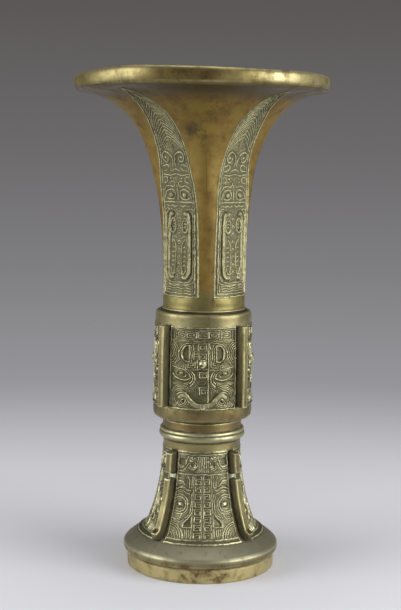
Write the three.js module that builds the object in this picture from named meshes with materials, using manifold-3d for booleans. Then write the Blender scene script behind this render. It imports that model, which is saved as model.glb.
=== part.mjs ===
// Gu vase: an archaistic bronze altar vase in the shape of an ancient wine beaker.
// A trumpet neck, a barrel-shaped knop and a spreading hollow foot are cast apart, fitted together
// with spigots and soldered. Thick flanges sit in shallow channels at the quarters.
// Millimetres, +Z up, the origin in the centre of the foot's resting face.
import * as THREE from 'three';
import { mergeVertices } from 'three/addons/utils/BufferGeometryUtils.js';
import Module from 'manifold-3d';

const wasm = await Module();
wasm.setup();

// Driving sizes of the whole vase
const totalHeight = 300;
const lipRadius = 76.4;
const throatRadius = 25.1;
const knopRadius = 30;
const footRadius = 47.7;
const wall = 2.3;
const clearance = 0.3;
const quarters = 4;

// Heights of the joints and bands, from the resting face up
const footBandHeight = 8.2;
const skirtLipHeight = 12.5;
const registerLineHeight = 60.7;
const collarHeight = 74.2;
const footJointHeight = 91.6;
const knopJointHeight = 158.2;
const solderThickness = 0.8;

// Each casting was set on the one below by eye, a few degrees out of line
const neckTurn = THREE.MathUtils.degToRad(3);
const footTurn = THREE.MathUtils.degToRad(2.2);

const aroundSteps = 36;
const ringSteps = 32;

// The cast relief: how deep the ornament's ground lies, and how high its borders and figures stand
const groundDepth = 0.35;
const borderLift = 0.7;
const figureLift = 0.85;
const frameLift = 0.45;
const root = 0.7;

// Turns a closed mesh into a solid that can be joined and cut.
function solidOf(geometry) {
  const bare = geometry.clone();
  for (const name of Object.keys(bare.attributes)) {
    if (name !== 'position') bare.deleteAttribute(name);
  }
  const merged = mergeVertices(bare, 1e-4);
  const index = merged.index.array;
  const kept = [];
  for (let i = 0; i < index.length; i += 3) {
    const [a, b, c] = [index[i], index[i + 1], index[i + 2]];
    if (a !== b && b !== c && c !== a) kept.push(a, b, c);
  }
  return new wasm.Manifold(new wasm.Mesh({
    numProp: 3,
    vertProperties: new Float32Array(merged.attributes.position.array),
    triVerts: new Uint32Array(kept),
  }));
}

// Turns a solid back into a three.js geometry.
function geometryOf(solid) {
  const mesh = solid.getMesh();
  const geometry = new THREE.BufferGeometry();
  const places = new Float32Array(mesh.numVert * 3);
  for (let i = 0; i < mesh.numVert; i += 1) {
    for (let k = 0; k < 3; k += 1) places[3 * i + k] = mesh.vertProperties[mesh.numProp * i + k];
  }
  geometry.setAttribute('position', new THREE.BufferAttribute(places, 3));
  geometry.setIndex(new THREE.BufferAttribute(new Uint32Array(mesh.triVerts), 1));
  geometry.computeVertexNormals();
  return geometry;
}

// A mesh from points and triangles.
function meshOf(points, triangles) {
  const geometry = new THREE.BufferGeometry();
  geometry.setAttribute('position', new THREE.Float32BufferAttribute(points.flatMap((p) => [p.x, p.y, p.z]), 3));
  geometry.setIndex(triangles);
  geometry.computeVertexNormals();
  return geometry;
}

// Revolves a closed outline of [radius, height] points about the vase's axis.
function revolve(outline, steps = aroundSteps) {
  const points = outline.map(([radius, height]) => new THREE.Vector2(radius, height));
  points.push(points[0].clone());
  const geometry = new THREE.LatheGeometry(points, steps);
  geometry.rotateX(Math.PI / 2);
  return geometry;
}

// Joins rings of equally many points into one closed surface. The last ring meets the first.
function loft(rings) {
  const count = rings[0].length;
  const triangles = [];
  rings.forEach((ring, i) => {
    const next = (i + 1) % rings.length;
    for (let j = 0; j < count; j += 1) {
      const k = (j + 1) % count;
      const [a, b, c, d] = [i * count + j, i * count + k, next * count + k, next * count + j];
      triangles.push(a, b, c, a, c, d);
    }
  });
  return meshOf(rings.flat(), triangles);
}

// Points along a cubic curve in the radius-height plane, its first point left out.
function curve(from, pullFrom, pullTo, to, steps) {
  const line = new THREE.CubicBezierCurve(
    ...[from, pullFrom, pullTo, to].map(([r, z]) => new THREE.Vector2(r, z)),
  );
  return line.getPoints(steps).slice(1).map((p) => [p.x, p.y]);
}

// Reads a table of [place, value] pairs at a place, by straight lines, held level at both ends.
function readTable(table, place) {
  if (place <= table[0][0]) return table[0][1];
  for (let i = 1; i < table.length; i += 1) {
    const [p0, v0] = table[i - 1];
    const [p1, v1] = table[i];
    if (place <= p1) return v0 + ((v1 - v0) * (place - p0)) / (p1 - p0);
  }
  return table[table.length - 1][1];
}

// A raised cord of ornament with a ridged back. Its path lies on a wall unrolled flat, and place(across, up, out)
// rolls it back.
function cord(path, width, place, { lift = figureLift, closed = false } = {}) {
  const section = [[width / 2 + 0.2, -root], [0, lift], [-width / 2 - 0.2, -root]];
  const count = path.length;
  const points = path.flatMap(([across, up], i) => {
    const before = closed ? path[(i + count - 1) % count] : path[Math.max(i - 1, 0)];
    const after = closed ? path[(i + 1) % count] : path[Math.min(i + 1, count - 1)];
    const length = Math.hypot(after[0] - before[0], after[1] - before[1]);
    const side = [-(after[1] - before[1]) / length, (after[0] - before[0]) / length];
    return section.map(([off, out]) => place(across + side[0] * off, up + side[1] * off, out));
  });
  const triangles = [];
  const stretches = closed ? count : count - 1;
  for (let i = 0; i < stretches; i += 1) {
    for (let j = 0; j < 3; j += 1) {
      const k = (j + 1) % 3;
      const next = (i + 1) % count;
      triangles.push(3 * i + j, 3 * i + k, 3 * next + k, 3 * i + j, 3 * next + k, 3 * next + j);
    }
  }
  if (!closed) {
    const end = 3 * (count - 1);
    triangles.push(2, 1, 0, end, end + 1, end + 2);
  }
  return meshOf(points, triangles);
}

// A low six-sided boss, such as an eye.
function boss([across, up], wide, high, place, lift = figureLift) {
  const sides = 6;
  const rings = [[1, -root], [0.62, 0.75 * lift]];
  const points = rings.flatMap(([share, out]) => Array.from({ length: sides }, (_, i) => {
    const angle = (2 * Math.PI * i) / sides;
    return place(across + wide * share * Math.cos(angle), up + high * share * Math.sin(angle), out);
  }));
  points.push(place(across, up, lift), place(across, up, -root));
  const triangles = [];
  for (let i = 0; i < sides; i += 1) {
    const k = (i + 1) % sides;
    triangles.push(i, k, sides + k, i, sides + k, sides + i, sides + i, sides + k, 2 * sides, k, i, 2 * sides + 1);
  }
  return meshOf(points, triangles);
}

function mirrored(path) {
  return path.map(([across, up]) => [-across, up]);
}

// Joins the ornament of one face onto a body, once for each quarter.
function joinOrnament(body, forms, firstAngle) {
  let joined = body;
  for (let i = 0; i < quarters; i += 1) {
    const turn = firstAngle + (2 * Math.PI * i) / quarters;
    for (const form of forms) joined = joined.add(solidOf(form.clone().rotateZ(turn)));
  }
  return joined;
}

// Neck: in its middle it is a square with rounded corners. The blades lie on its flat sides, and the
// corners flare out into a round lip.
const lipBand = 9.4;
const lipUnderside = totalHeight - lipBand;
const neckBaseHeight = knopJointHeight + solderThickness;
const neckSpigotRadius = 23.6;
const neckSpigotDepth = 7;
const neckInnerRadius = neckSpigotRadius - 1.9;
const neckBaseRadius = throatRadius + 2;
const flareStart = neckBaseHeight + 3;
const bladeFoot = neckBaseHeight + 9;
const bladeLength = 138;
const bladeHalfWidth = 13.7;
const borderWidth = 0.9;

// Share of the corner's radius at which the flat sides lie, by share of the way up from the flare's start
const flatShares = [
  [0, 0.985], [0.05, 0.962], [0.155, 0.925], [0.34, 0.87], [0.43, 0.845], [0.535, 0.818], [0.645, 0.803],
  [0.715, 0.815], [0.8, 0.858], [0.917, 0.922], [0.97, 0.965], [1, 1],
];

// Share of a blade's half width by share of its length
const bladeTaper = [
  [0, 1], [0.4, 1], [0.47, 0.985], [0.58, 0.854], [0.71, 0.78], [0.81, 0.642], [0.87, 0.5], [0.92, 0.33],
  [0.965, 0.146], [1, 0],
];

const flareRise = lipUnderside - flareStart;
const crest = new THREE.CubicBezierCurve(
  new THREE.Vector2(throatRadius, flareStart),
  new THREE.Vector2(throatRadius, flareStart + 0.544 * flareRise),
  new THREE.Vector2(1.18 * throatRadius, flareStart + 0.934 * flareRise),
  new THREE.Vector2(lipRadius - 5, lipUnderside - 1.9),
);
const crestLength = crest.getLength();
const crestToBlade = bladeFoot - flareStart;

// Radius of the neck's section at an angle from a blade's middle: a superellipse whose sides lie at the
// given share of its corners.
function sectionRadius(corner, height, angle) {
  const flat = readTable(flatShares, (height - flareStart) / flareRise);
  const power = 1 / (0.5 + Math.log2(flat));
  const sum = Math.abs(Math.cos(angle)) ** power + Math.abs(Math.sin(angle)) ** power;
  return (corner * flat) / sum ** (1 / power);
}

// Angle from a blade's middle at which the section lies a given distance across.
function sectionAngle(corner, height, across) {
  let angle = 0;
  for (let i = 0; i < 12; i += 1) {
    angle = Math.asin(THREE.MathUtils.clamp(across / sectionRadius(corner, height, angle), -0.75, 0.75));
  }
  return angle;
}

function bladeHalfWidthAt(way) {
  return bladeHalfWidth * readTable(bladeTaper, way / bladeLength);
}

// A point on the neck's face, by the distance across a blade, the way up it and the height over it.
function onBlade(across, way, out) {
  const share = THREE.MathUtils.clamp((way + crestToBlade) / crestLength, 0, 1);
  const { x: corner, y: height } = crest.getPointAt(share);
  const slope = crest.getTangentAt(share);
  const angle = sectionAngle(corner, height, across);
  const radius = sectionRadius(corner, height, angle) + out * slope.y;
  return new THREE.Vector3(radius * Math.cos(angle), radius * Math.sin(angle), height - out * slope.x);
}

// One ring of the neck's outside. Its columns follow the borders of the four blades.
function neckRing([corner, height], half, lifts, slope) {
  const edges = [half + 0.7 * borderWidth, half, half - borderWidth, half / 2, 0];
  const offsets = [...edges.map((d) => -d), ...edges.slice(0, -1).reverse()];
  const angles = offsets.map((across) => sectionAngle(corner, height, across));
  const strip = (angles[0] - Math.PI / 4) / 2;
  const columns = [-Math.PI / 4, strip, ...angles, -strip];
  const [border, field] = lifts;
  const raised = [0, 0, 0, border, field, field, field, field, field, border, 0, 0];
  return Array.from({ length: quarters }, (_, q) => columns.map((angle, i) => {
    const radius = sectionRadius(corner, height, angle) + raised[i] * slope.y;
    const turn = angle + (Math.PI / 2) * q + Math.PI / 4;
    return new THREE.Vector3(radius * Math.cos(turn), radius * Math.sin(turn), height - raised[i] * slope.x);
  })).flat();
}

function neckGeometry() {
  const upright = new THREE.Vector2(0, 1);
  const plain = (point) => neckRing(point, Math.min(0.54 * point[0], 0.3 * lipRadius), [0, 0], upright);
  const ways = [0, borderWidth, 16, 36, 55, 68, 80, 92, 103, 112, 120, 127, 132.5, bladeLength];
  const outside = [
    plain([neckInnerRadius, neckBaseHeight - neckSpigotDepth]),
    plain([neckSpigotRadius, neckBaseHeight - neckSpigotDepth]),
    plain([neckSpigotRadius, neckBaseHeight]),
    plain([neckBaseRadius, neckBaseHeight]),
    plain([neckBaseRadius - 0.3, neckBaseHeight + 1.4]),
    plain([throatRadius + 0.1, neckBaseHeight + 2.6]),
    plain([throatRadius + 0.02, bladeFoot - borderWidth]),
  ];
  for (const way of ways) {
    const share = (way + crestToBlade) / crestLength;
    const { x, y } = crest.getPointAt(share);
    const half = Math.max(bladeHalfWidthAt(way), 1.4 * borderWidth);
    const tip = way > bladeLength - 4 ? 0 : borderLift;
    const lifts = way === 0 ? [borderLift, borderLift] : [tip, tip > 0 ? -groundDepth : 0];
    outside.push(neckRing([x, y], half, lifts, crest.getTangentAt(share)));
  }
  for (const [share, half] of [[0.945, 0.1 * lipRadius], [0.98, 0.2 * lipRadius]]) {
    const { x, y } = crest.getPointAt(share);
    outside.push(neckRing([x, y], half, [0, 0], upright));
  }
  const lip = [
    [lipRadius - 5, lipUnderside - 1.9], [lipRadius - 2.4, lipUnderside - 0.9], [lipRadius - 0.7, lipUnderside + 0.5],
    [lipRadius + 0.1, lipUnderside + 3], [lipRadius, totalHeight - 2.8], [lipRadius - 1, totalHeight - 0.8],
    [lipRadius - 2.8, totalHeight],
  ];
  const lining = curve(
    [lipRadius - 4, totalHeight - 0.4],
    [0.51 * lipRadius, totalHeight - 16.8],
    [throatRadius - 2.2, flareStart + 0.81 * flareRise],
    [throatRadius - wall, flareStart + 0.12 * flareRise],
    7,
  );
  return loft([
    ...outside,
    ...lip.map(plain),
    ...lining.map(plain),
  ]);
}

// Each blade carries a pair of small loops over a pair of long ones, with bosses for eyes above
function bladeOrnament() {
  const loop = [[4.9, 38], [7.1, 40], [7.1, 44.4], [4.9, 46.8], [2.7, 44.4], [2.7, 40]];
  const longLoop = [[4.6, 13.2], [6.9, 17], [6.9, 30.6], [4.6, 34.2], [2.3, 30.6], [2.3, 17]];
  const forms = [];
  for (const way of [(path) => path, mirrored]) {
    forms.push(cord(way(loop), 1.5, onBlade, { closed: true }));
    forms.push(cord(way(longLoop), 1.5, onBlade, { closed: true }));
    forms.push(boss(way([[5.1, 49.4]])[0], 1.6, 1.6, onBlade, 1.1));
    forms.push(boss(way([[5.2, 60.1]])[0], 2.1, 1.8, onBlade, 1.2));
  }
  return forms;
}

// Knop: a barrel with a rounded shoulder, a socket above and below, and a ledge for the floor
const knopSocketDepth = 8.5;
const knopBottomHeight = footJointHeight + solderThickness;
const floorThickness = 3;
const footSpigotRadius = 22.6;
const footSpigotHeight = knopBottomHeight + 6.4;
const ledgeHeight = footSpigotHeight + floorThickness;
const ledgeRadius = footSpigotRadius - 2;
const knopInnerRadius = knopRadius - wall - 0.4;

const knopFrameBottom = knopBottomHeight + 9.3;
const knopFrameTop = knopJointHeight - 8;

function knopOutline() {
  const socketRadius = neckSpigotRadius + clearance;
  return [
    [footSpigotRadius + clearance, knopBottomHeight],
    [knopRadius - 4.6, knopBottomHeight],
    ...curve(
      [knopRadius - 4.6, knopBottomHeight],
      [knopRadius - 1.4, knopBottomHeight + 0.4],
      [knopRadius - 0.1, knopBottomHeight + 0.8],
      [knopRadius, knopBottomHeight + 3.8],
      4,
    ),
    [knopRadius + 0.1, knopFrameBottom - 0.7],
    [knopRadius + frameLift, knopFrameBottom],
    [knopRadius - 0.1, knopFrameBottom + 0.7],
    [knopRadius, knopBottomHeight + 34.6],
    [knopRadius - 0.7, knopFrameTop - 0.6],
    [knopRadius - 0.7 + frameLift, knopFrameTop],
    [knopRadius - 0.7, knopFrameTop + 0.6],
    [knopRadius - 0.9, knopJointHeight - 1.8],
    [knopRadius - 1.5, knopJointHeight - 0.5],
    [knopRadius - 2.6, knopJointHeight],
    [socketRadius, knopJointHeight],
    [socketRadius, knopJointHeight - knopSocketDepth],
    [knopInnerRadius, knopJointHeight - knopSocketDepth - 4],
    [knopInnerRadius, ledgeHeight + 5],
    [ledgeRadius, ledgeHeight + 1.5],
    [ledgeRadius, ledgeHeight],
    [footSpigotRadius + clearance, ledgeHeight],
  ];
}

function onKnop(across, up, out) {
  const angle = across / knopRadius;
  const radius = knopRadius - 0.15 + out;
  return new THREE.Vector3(radius * Math.cos(angle), radius * Math.sin(angle), up);
}

// Each face of the knop has horns, slanting eyes, a nose and a moustache that curls up at its ends
function knopOrnament() {
  const horn = [[8.2, 140], [12.2, 138.2], [13, 134.9], [12, 131.6], [8.6, 130]];
  const eye = [[18.9, 122.6], [13, 119.3], [7.3, 120.4]];
  const halfLip = [[3.6, 105], [7.9, 108.7], [11.8, 111.7], [15.8, 110.2]];
  const forms = [
    cord([...mirrored(halfLip).reverse(), ...halfLip], 1.9, onKnop),
    boss([0, 128.9], 2.6, 2.9, onKnop, 1.5),
  ];
  for (const way of [(path) => path, mirrored]) {
    forms.push(cord(way(horn), 1.7, onKnop));
    forms.push(cord(way(eye), 1.3, onKnop, { lift: 0.6 }));
    forms.push(boss(way([[13.3, 123.4]])[0], 2.2, 1.6, onKnop, 1));
  }
  return forms;
}

// Foot: a hollow bell on a plain ring, with a double bead round its waist
const waistRadius = 24;
const beadRadius = 26.3;
const skirtFoot = [footRadius - 12.8, skirtLipHeight + 10.8];

// The outer surface of the foot between the collar and the skirt, from the top down.
function footBell(steps) {
  const top = [waistRadius - 0.1, collarHeight + 1.8];
  return [
    top,
    ...curve(top, [waistRadius + 0.4, collarHeight - 29], [skirtFoot[0] - 2.5, skirtFoot[1] + 3.1], skirtFoot, steps),
  ];
}

function footSkirt(steps) {
  return curve(
    skirtFoot,
    [footRadius - 4.3, skirtLipHeight + 4.5],
    [footRadius - 0.4, skirtLipHeight + 3.9],
    [footRadius, skirtLipHeight],
    steps,
  );
}

// Adds a low ridge all the way round at each height to an outline that runs upward.
function withFrameLines(outline, heights) {
  const halfWidth = 0.6;
  const ridged = outline.filter(([, z]) => heights.every((height) => Math.abs(z - height) > halfWidth));
  for (const height of heights) {
    for (const [step, lift] of [[-halfWidth, 0], [0, frameLift], [halfWidth, 0]]) {
      ridged.push([radiusAt(outline, height + step) + lift, height + step]);
    }
  }
  return ridged.sort((p, q) => p[1] - q[1]);
}

function footOutline() {
  const spigotInner = footSpigotRadius - 2.1;
  const rim = footRadius - 2.5;
  const shoulder = [spigotInner + 10.5, skirtFoot[1] - 3];
  return [
    [footSpigotRadius, footSpigotHeight],
    [spigotInner, footSpigotHeight],
    [spigotInner, collarHeight + 5],
    ...curve([spigotInner, collarHeight + 5], [spigotInner + 0.4, collarHeight - 30], [shoulder[0] - 2.5, 25], shoulder, 4),
    ...curve(shoulder, [shoulder[0] + 7, 16.2], [rim - 3.2, 15.4], [rim - 2.6, footBandHeight + 1.8], 3),
    [rim - 2.6, 0],
    [rim, 0],
    [rim + 0.3, footBandHeight - 0.4],
    [rim + 0.7, footBandHeight + 0.6],
    [footRadius - 0.4, footBandHeight + 1.8],
    [footRadius, skirtLipHeight],
    ...footSkirt(3).reverse().slice(1),
    ...withFrameLines(footBell(6).reverse(), [skirtFoot[1] + 0.8, registerLineHeight]),
    [waistRadius - 0.3, footJointHeight - 12.4],
    [beadRadius - 0.5, footJointHeight - 11.2],
    [beadRadius, footJointHeight - 9.4],
    [beadRadius - 0.6, footJointHeight - 7.6],
    [beadRadius - 0.3, footJointHeight - 6.7],
    [waistRadius + 0.1, footJointHeight - 5.2],
    [waistRadius + 0.1, footJointHeight],
    [footSpigotRadius, footJointHeight],
  ];
}

// Flanges: plain square-edged bars that stand out from the wall at the quarters
const knopFlange = { width: 3.5, stand: 6.2, bottom: knopBottomHeight + 9.5, top: knopJointHeight - 7.4 };
const footFlange = {
  width: 4.1,
  stand: 5.7,
  bottom: skirtLipHeight + 8.4,
  notchBottom: registerLineHeight - 4,
  notchTop: registerLineHeight - 0.1,
  top: collarHeight,
};
const tongue = 0.9;

// Radius of an outline's outer side at a height, by straight lines between its points.
function radiusAt(outline, height) {
  const rising = [...outline].sort((p, q) => p[1] - q[1]).map(([r, z]) => [z, r]);
  return readTable(rising, height);
}

const bell = [...footBell(6), ...footSkirt(3)];

// A point on the foot's wall. The distance across is an arc's length at that height.
function onFoot(across, up, out) {
  const wallRadius = radiusAt(bell, up);
  const slope = (radiusAt(bell, up + 0.5) - radiusAt(bell, up - 0.5));
  const length = Math.hypot(slope, 1);
  const angle = across / wallRadius;
  const radius = wallRadius + out / length;
  return new THREE.Vector3(radius * Math.cos(angle), radius * Math.sin(angle), up - (out * slope) / length);
}

// Each face of the foot has brows, round eyes and hooked jaws beside its middle column
function footOrnament() {
  const atDegrees = (path) => path.map(([degrees, up]) => [THREE.MathUtils.degToRad(degrees) * radiusAt(bell, up), up]);
  const brow = [[36.5, 51.2], [28.4, 52.8], [19, 51.2]];
  const jaw = [[13.2, 38], [17.2, 34.9], [22.4, 31.6], [13.4, 29.8]];
  const forms = [];
  for (const way of [(path) => path, mirrored]) {
    forms.push(cord(atDegrees(way(brow)), 1.6, onFoot));
    forms.push(cord(atDegrees(way(jaw)), 1.5, onFoot));
    forms.push(boss(atDegrees(way([[28, 42.6]]))[0], 2.6, 2.4, onFoot, 1.2));
    forms.push(boss(atDegrees(way([[17.3, 68]]))[0], 1.6, 1.5, onFoot, 0.9));
  }
  return forms;
}

// The part of an outline between two heights, from the top down, pushed out square to itself.
function pushedOut(outline, bottom, top, distance) {
  const inside = outline.filter(([, z]) => z > bottom + 0.5 && z < top - 0.5);
  const span = [[radiusAt(outline, top), top], ...inside, [radiusAt(outline, bottom), bottom]];
  return span.map(([r, z], i) => {
    const [r0, z0] = span[Math.max(i - 1, 0)];
    const [r1, z1] = span[Math.min(i + 1, span.length - 1)];
    const length = Math.hypot(r1 - r0, z1 - z0);
    return [r - (distance * (z1 - z0)) / length, z + (distance * (r1 - r0)) / length];
  });
}

// A bar that follows the wall: its side view is extruded to its width, grown by a margin.
function flangeGeometry(outline, { width, stand }, bottom, top, margin) {
  const outer = pushedOut(outline, bottom - margin, top + margin, stand + margin);
  const inner = pushedOut(outline, bottom - margin, top + margin, -tongue - margin).reverse();
  const side = new THREE.Shape([...outer, ...inner].map(([r, z]) => new THREE.Vector2(r, z)));
  const geometry = new THREE.ExtrudeGeometry(side, { depth: width + 2 * margin, bevelEnabled: false });
  geometry.translate(0, 0, -width / 2 - margin);
  geometry.rotateX(Math.PI / 2);
  return geometry;
}

// Cuts one channel at each quarter, so that the flange's tongue has its clearance.
function cutChannels(solid, geometry) {
  let cut = solid;
  for (let i = 0; i < quarters; i += 1) {
    cut = cut.subtract(solidOf(geometry.clone().rotateZ(flangeAngle(i))));
  }
  return cut;
}

function flangeAngle(i) {
  return (Math.PI / 2) * i + Math.PI / 4;
}

const bronze = new THREE.MeshStandardMaterial({ color: '#8a7440', roughness: 0.45, metalness: 1 });
const brightBronze = new THREE.MeshStandardMaterial({ color: '#a8904c', roughness: 0.38, metalness: 1 });
const solder = new THREE.MeshStandardMaterial({ color: '#5b5a50', roughness: 0.7, metalness: 0.8 });

function piece(name, geometry, material) {
  const mesh = new THREE.Mesh(geometry, material);
  mesh.name = name;
  return mesh;
}

// The neck, which stands on a ring of solder
function neckSection() {
  const section = new THREE.Group();
  section.rotation.z = neckTurn;
  const neck = joinOrnament(solidOf(neckGeometry()), bladeOrnament(), Math.PI / 4);
  section.add(piece('trumpet_neck', geometryOf(neck), bronze));
  return section;
}

function solderRing(name, inner, outer, bottom) {
  const top = bottom + solderThickness;
  return piece(name, revolve([[inner, bottom], [outer, bottom], [outer, top], [inner, top]], ringSteps), solder);
}

function flanges(section, prefix, outline, shape, bottom, top) {
  for (let i = 0; i < quarters; i += 1) {
    const bar = piece(`${prefix}_${i + 1}`, flangeGeometry(outline, shape, bottom, top, 0), brightBronze);
    bar.rotation.z = flangeAngle(i);
    section.add(bar);
  }
}

function knopSection() {
  const section = new THREE.Group();
  const { bottom, top } = knopFlange;
  const outer = [[knopRadius - 0.7, top], [knopRadius, knopBottomHeight + 34.6], [knopRadius, bottom]];
  let barrel = joinOrnament(solidOf(revolve(knopOutline())), knopOrnament(), 0);
  barrel = cutChannels(barrel, flangeGeometry(outer, knopFlange, bottom, top, clearance));
  section.add(piece('knop', geometryOf(barrel), bronze));
  flanges(section, 'knop_flange', outer, knopFlange, bottom, top);
  return section;
}

function footSection() {
  const section = new THREE.Group();
  section.rotation.z = footTurn;
  const { bottom, notchBottom, notchTop, top } = footFlange;
  let foot = joinOrnament(solidOf(revolve(footOutline())), footOrnament(), 0);
  foot = cutChannels(foot, flangeGeometry(bell, footFlange, bottom, notchBottom, clearance));
  foot = cutChannels(foot, flangeGeometry(bell, footFlange, notchTop, top, clearance));
  section.add(piece('foot', geometryOf(foot), bronze));
  flanges(section, 'foot_lower_flange', bell, footFlange, bottom, notchBottom);
  flanges(section, 'foot_upper_flange', bell, footFlange, notchTop, top);
  return section;
}

function floorDisc() {
  const radius = footSpigotRadius;
  return piece('vessel_floor', revolve([
    [0, footSpigotHeight], [radius, footSpigotHeight], [radius, ledgeHeight], [0, ledgeHeight],
  ]), bronze);
}

const vase = new THREE.Group();
vase.add(neckSection());
vase.add(solderRing('neck_solder_ring', neckSpigotRadius + clearance, neckBaseRadius - 0.9, knopJointHeight));
vase.add(knopSection());
vase.add(solderRing('foot_solder_ring', footSpigotRadius + clearance, waistRadius - 0.5, footJointHeight));
vase.add(floorDisc());
vase.add(footSection());

export default vase;
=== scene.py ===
# %% [markdown]
# # An archaistic bronze gu vase
# The vase is an altar flower vase in the shape of an ancient wine beaker. Three bronze castings stand on
# one another: a trumpet neck with four rising blades, a barrel-shaped knop with four masks, and a hollow
# foot with four more. Twelve thick flanges sit in channels at the quarters, and dark solder closes the
# joints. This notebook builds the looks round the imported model, which is loaded first and never moved.

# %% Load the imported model
import math

import bpy
import numpy as np
from mathutils import Matrix, Vector


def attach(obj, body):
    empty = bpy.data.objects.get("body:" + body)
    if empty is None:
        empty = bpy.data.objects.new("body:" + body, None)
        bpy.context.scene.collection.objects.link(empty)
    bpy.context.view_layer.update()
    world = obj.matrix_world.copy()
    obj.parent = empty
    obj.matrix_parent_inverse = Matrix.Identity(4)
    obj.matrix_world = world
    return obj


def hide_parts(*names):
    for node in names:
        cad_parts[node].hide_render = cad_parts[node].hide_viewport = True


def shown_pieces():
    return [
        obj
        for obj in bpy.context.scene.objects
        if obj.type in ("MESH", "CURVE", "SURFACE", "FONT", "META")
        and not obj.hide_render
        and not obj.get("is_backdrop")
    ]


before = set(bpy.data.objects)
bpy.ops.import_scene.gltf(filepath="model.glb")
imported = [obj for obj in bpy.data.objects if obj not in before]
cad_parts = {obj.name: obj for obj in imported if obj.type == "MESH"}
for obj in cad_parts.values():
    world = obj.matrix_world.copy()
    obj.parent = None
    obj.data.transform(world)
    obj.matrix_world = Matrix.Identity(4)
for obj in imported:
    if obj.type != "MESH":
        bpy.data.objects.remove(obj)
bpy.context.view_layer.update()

print("CAD nodes:", len(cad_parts))

# %% [markdown]
# ## Camera
# The camera stands a little under the mouth's height and looks slightly down, at the distance of a table top.
# It could be placed by eye, but the vase's outline gives its place: the ellipses of the mouth and foot open
# by an amount that fixes both the height and the distance, and the leaning axis gives the roll.

# %% Camera
MM = 0.001
CAMERA_PLACE = (-1.95 * MM, -764.7 * MM, 253.9 * MM)
CAMERA_PITCH = 6.957
CAMERA_ROLL = 0.8
CAMERA_LENS = 74.5

camera = bpy.data.objects.new("camera", bpy.data.cameras.new("camera"))
camera.data.lens = CAMERA_LENS
camera.data.sensor_width = 36
camera.data.clip_start = 0.01
tilt = Matrix.Rotation(math.radians(90 - CAMERA_PITCH), 4, "X")
roll = Matrix.Rotation(math.radians(CAMERA_ROLL), 4, "Z")
camera.matrix_world = Matrix.Translation(CAMERA_PLACE) @ tilt @ roll
bpy.context.scene.collection.objects.link(camera)
bpy.context.scene.camera = camera
bpy.context.scene.view_settings.view_transform = "Standard"
print("camera distance from the axis, mm:", round(-CAMERA_PLACE[1] / MM))

# %% [markdown]
# ## Nodes and colours
# Every finish below is a small net of shader nodes. Written out by hand each node takes four lines, so one
# helper makes a node of any kind, sets its fields and fills its inputs in the order in which Blender shows
# them. Colours are written as the eye reads them, in sRGB hex, and one function turns them into the linear
# values that the renderer works in.

# %% Helpers for nodes and colours
PLAIN = {}
EASED = {"interpolation_type": "SMOOTHSTEP"}
COLOURS = {"data_type": "RGBA"}
TIMES = {"operation": "MULTIPLY"}
PLUS = {"operation": "ADD"}
MINUS = {"operation": "SUBTRACT"}
LARGER = {"operation": "MAXIMUM"}
LENGTH = {"operation": "LENGTH"}
DISTANCE = {"operation": "DISTANCE"}


def linear(hex_code):
    """sRGB hex to linear RGBA: c / 12.92 below 0.04045, ((c + 0.055) / 1.055) to the power 2.4 above."""
    parts = [int(hex_code[i : i + 2], 16) / 255 for i in (1, 3, 5)]
    return (*[c / 12.92 if c <= 0.04045 else ((c + 0.055) / 1.055) ** 2.4 for c in parts], 1.0)


def node(tree, kind, fields, *inputs, give=None):
    """Adds one shader node and returns one of its outputs: the first in use, unless give names another. Among
    the inputs a socket is linked, and a number, a vector or a hex colour is set."""
    made = tree.nodes.new("ShaderNode" + kind)
    for field, value in fields.items():
        setattr(made, field, value)
    sockets = [socket for socket in made.inputs if socket.enabled]
    for socket, value in zip(sockets, inputs):
        if isinstance(value, bpy.types.NodeSocket):
            tree.links.new(value, socket)
        else:
            socket.default_value = linear(value) if isinstance(value, str) else value
    return made.outputs[give] if give else next(socket for socket in made.outputs if socket.enabled)


print("a mid bronze is", [round(v, 3) for v in linear("#8c7641")])

# %% [markdown]
# ## Table and studio light
# The vase stands on a plain pale table in front of a plain grey room. Two large soft boxes stand to its
# left and right, a little in front of it, because the lip and the bands are bright at their sides and dark
# in the middle, and because a soft shadow lies on either hand. A weaker one hangs overhead for the table
# and the tops of the beads. The table fades out behind the vase as it leaves the focus, and the room's grey
# there is a world colour that only the camera and the reflections see.

# %% Table, room and lamps
TABLE_RADIUS = 2000
TABLE = "#c0c0c4"
TABLE_FADE = (0.12, 0.62)
ROOM_LIGHT = "#8f8f92"
# The room's tone by the upward part of the line of sight, from well below the horizon to above it.
ROOM = [(-0.25, "#c0c0c4"), (-0.21, "#a9a8ac"), (-0.18, "#969599"), (-0.0975, "#807f81"), (0.0, "#6c6a6b"),
        (0.12, "#5a5656")]


def disc_mesh(name, radius, sides=96):
    """A flat round sheet: the points of a circle, R cos a and R sin a, as one face."""
    a = np.linspace(0, 2 * np.pi, sides, endpoint=False)
    points = np.column_stack([radius * np.cos(a), radius * np.sin(a), np.zeros(sides)]) * MM
    mesh = bpy.data.meshes.new(name)
    mesh.from_pydata(points.tolist(), [], [list(range(sides))])
    return mesh


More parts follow.
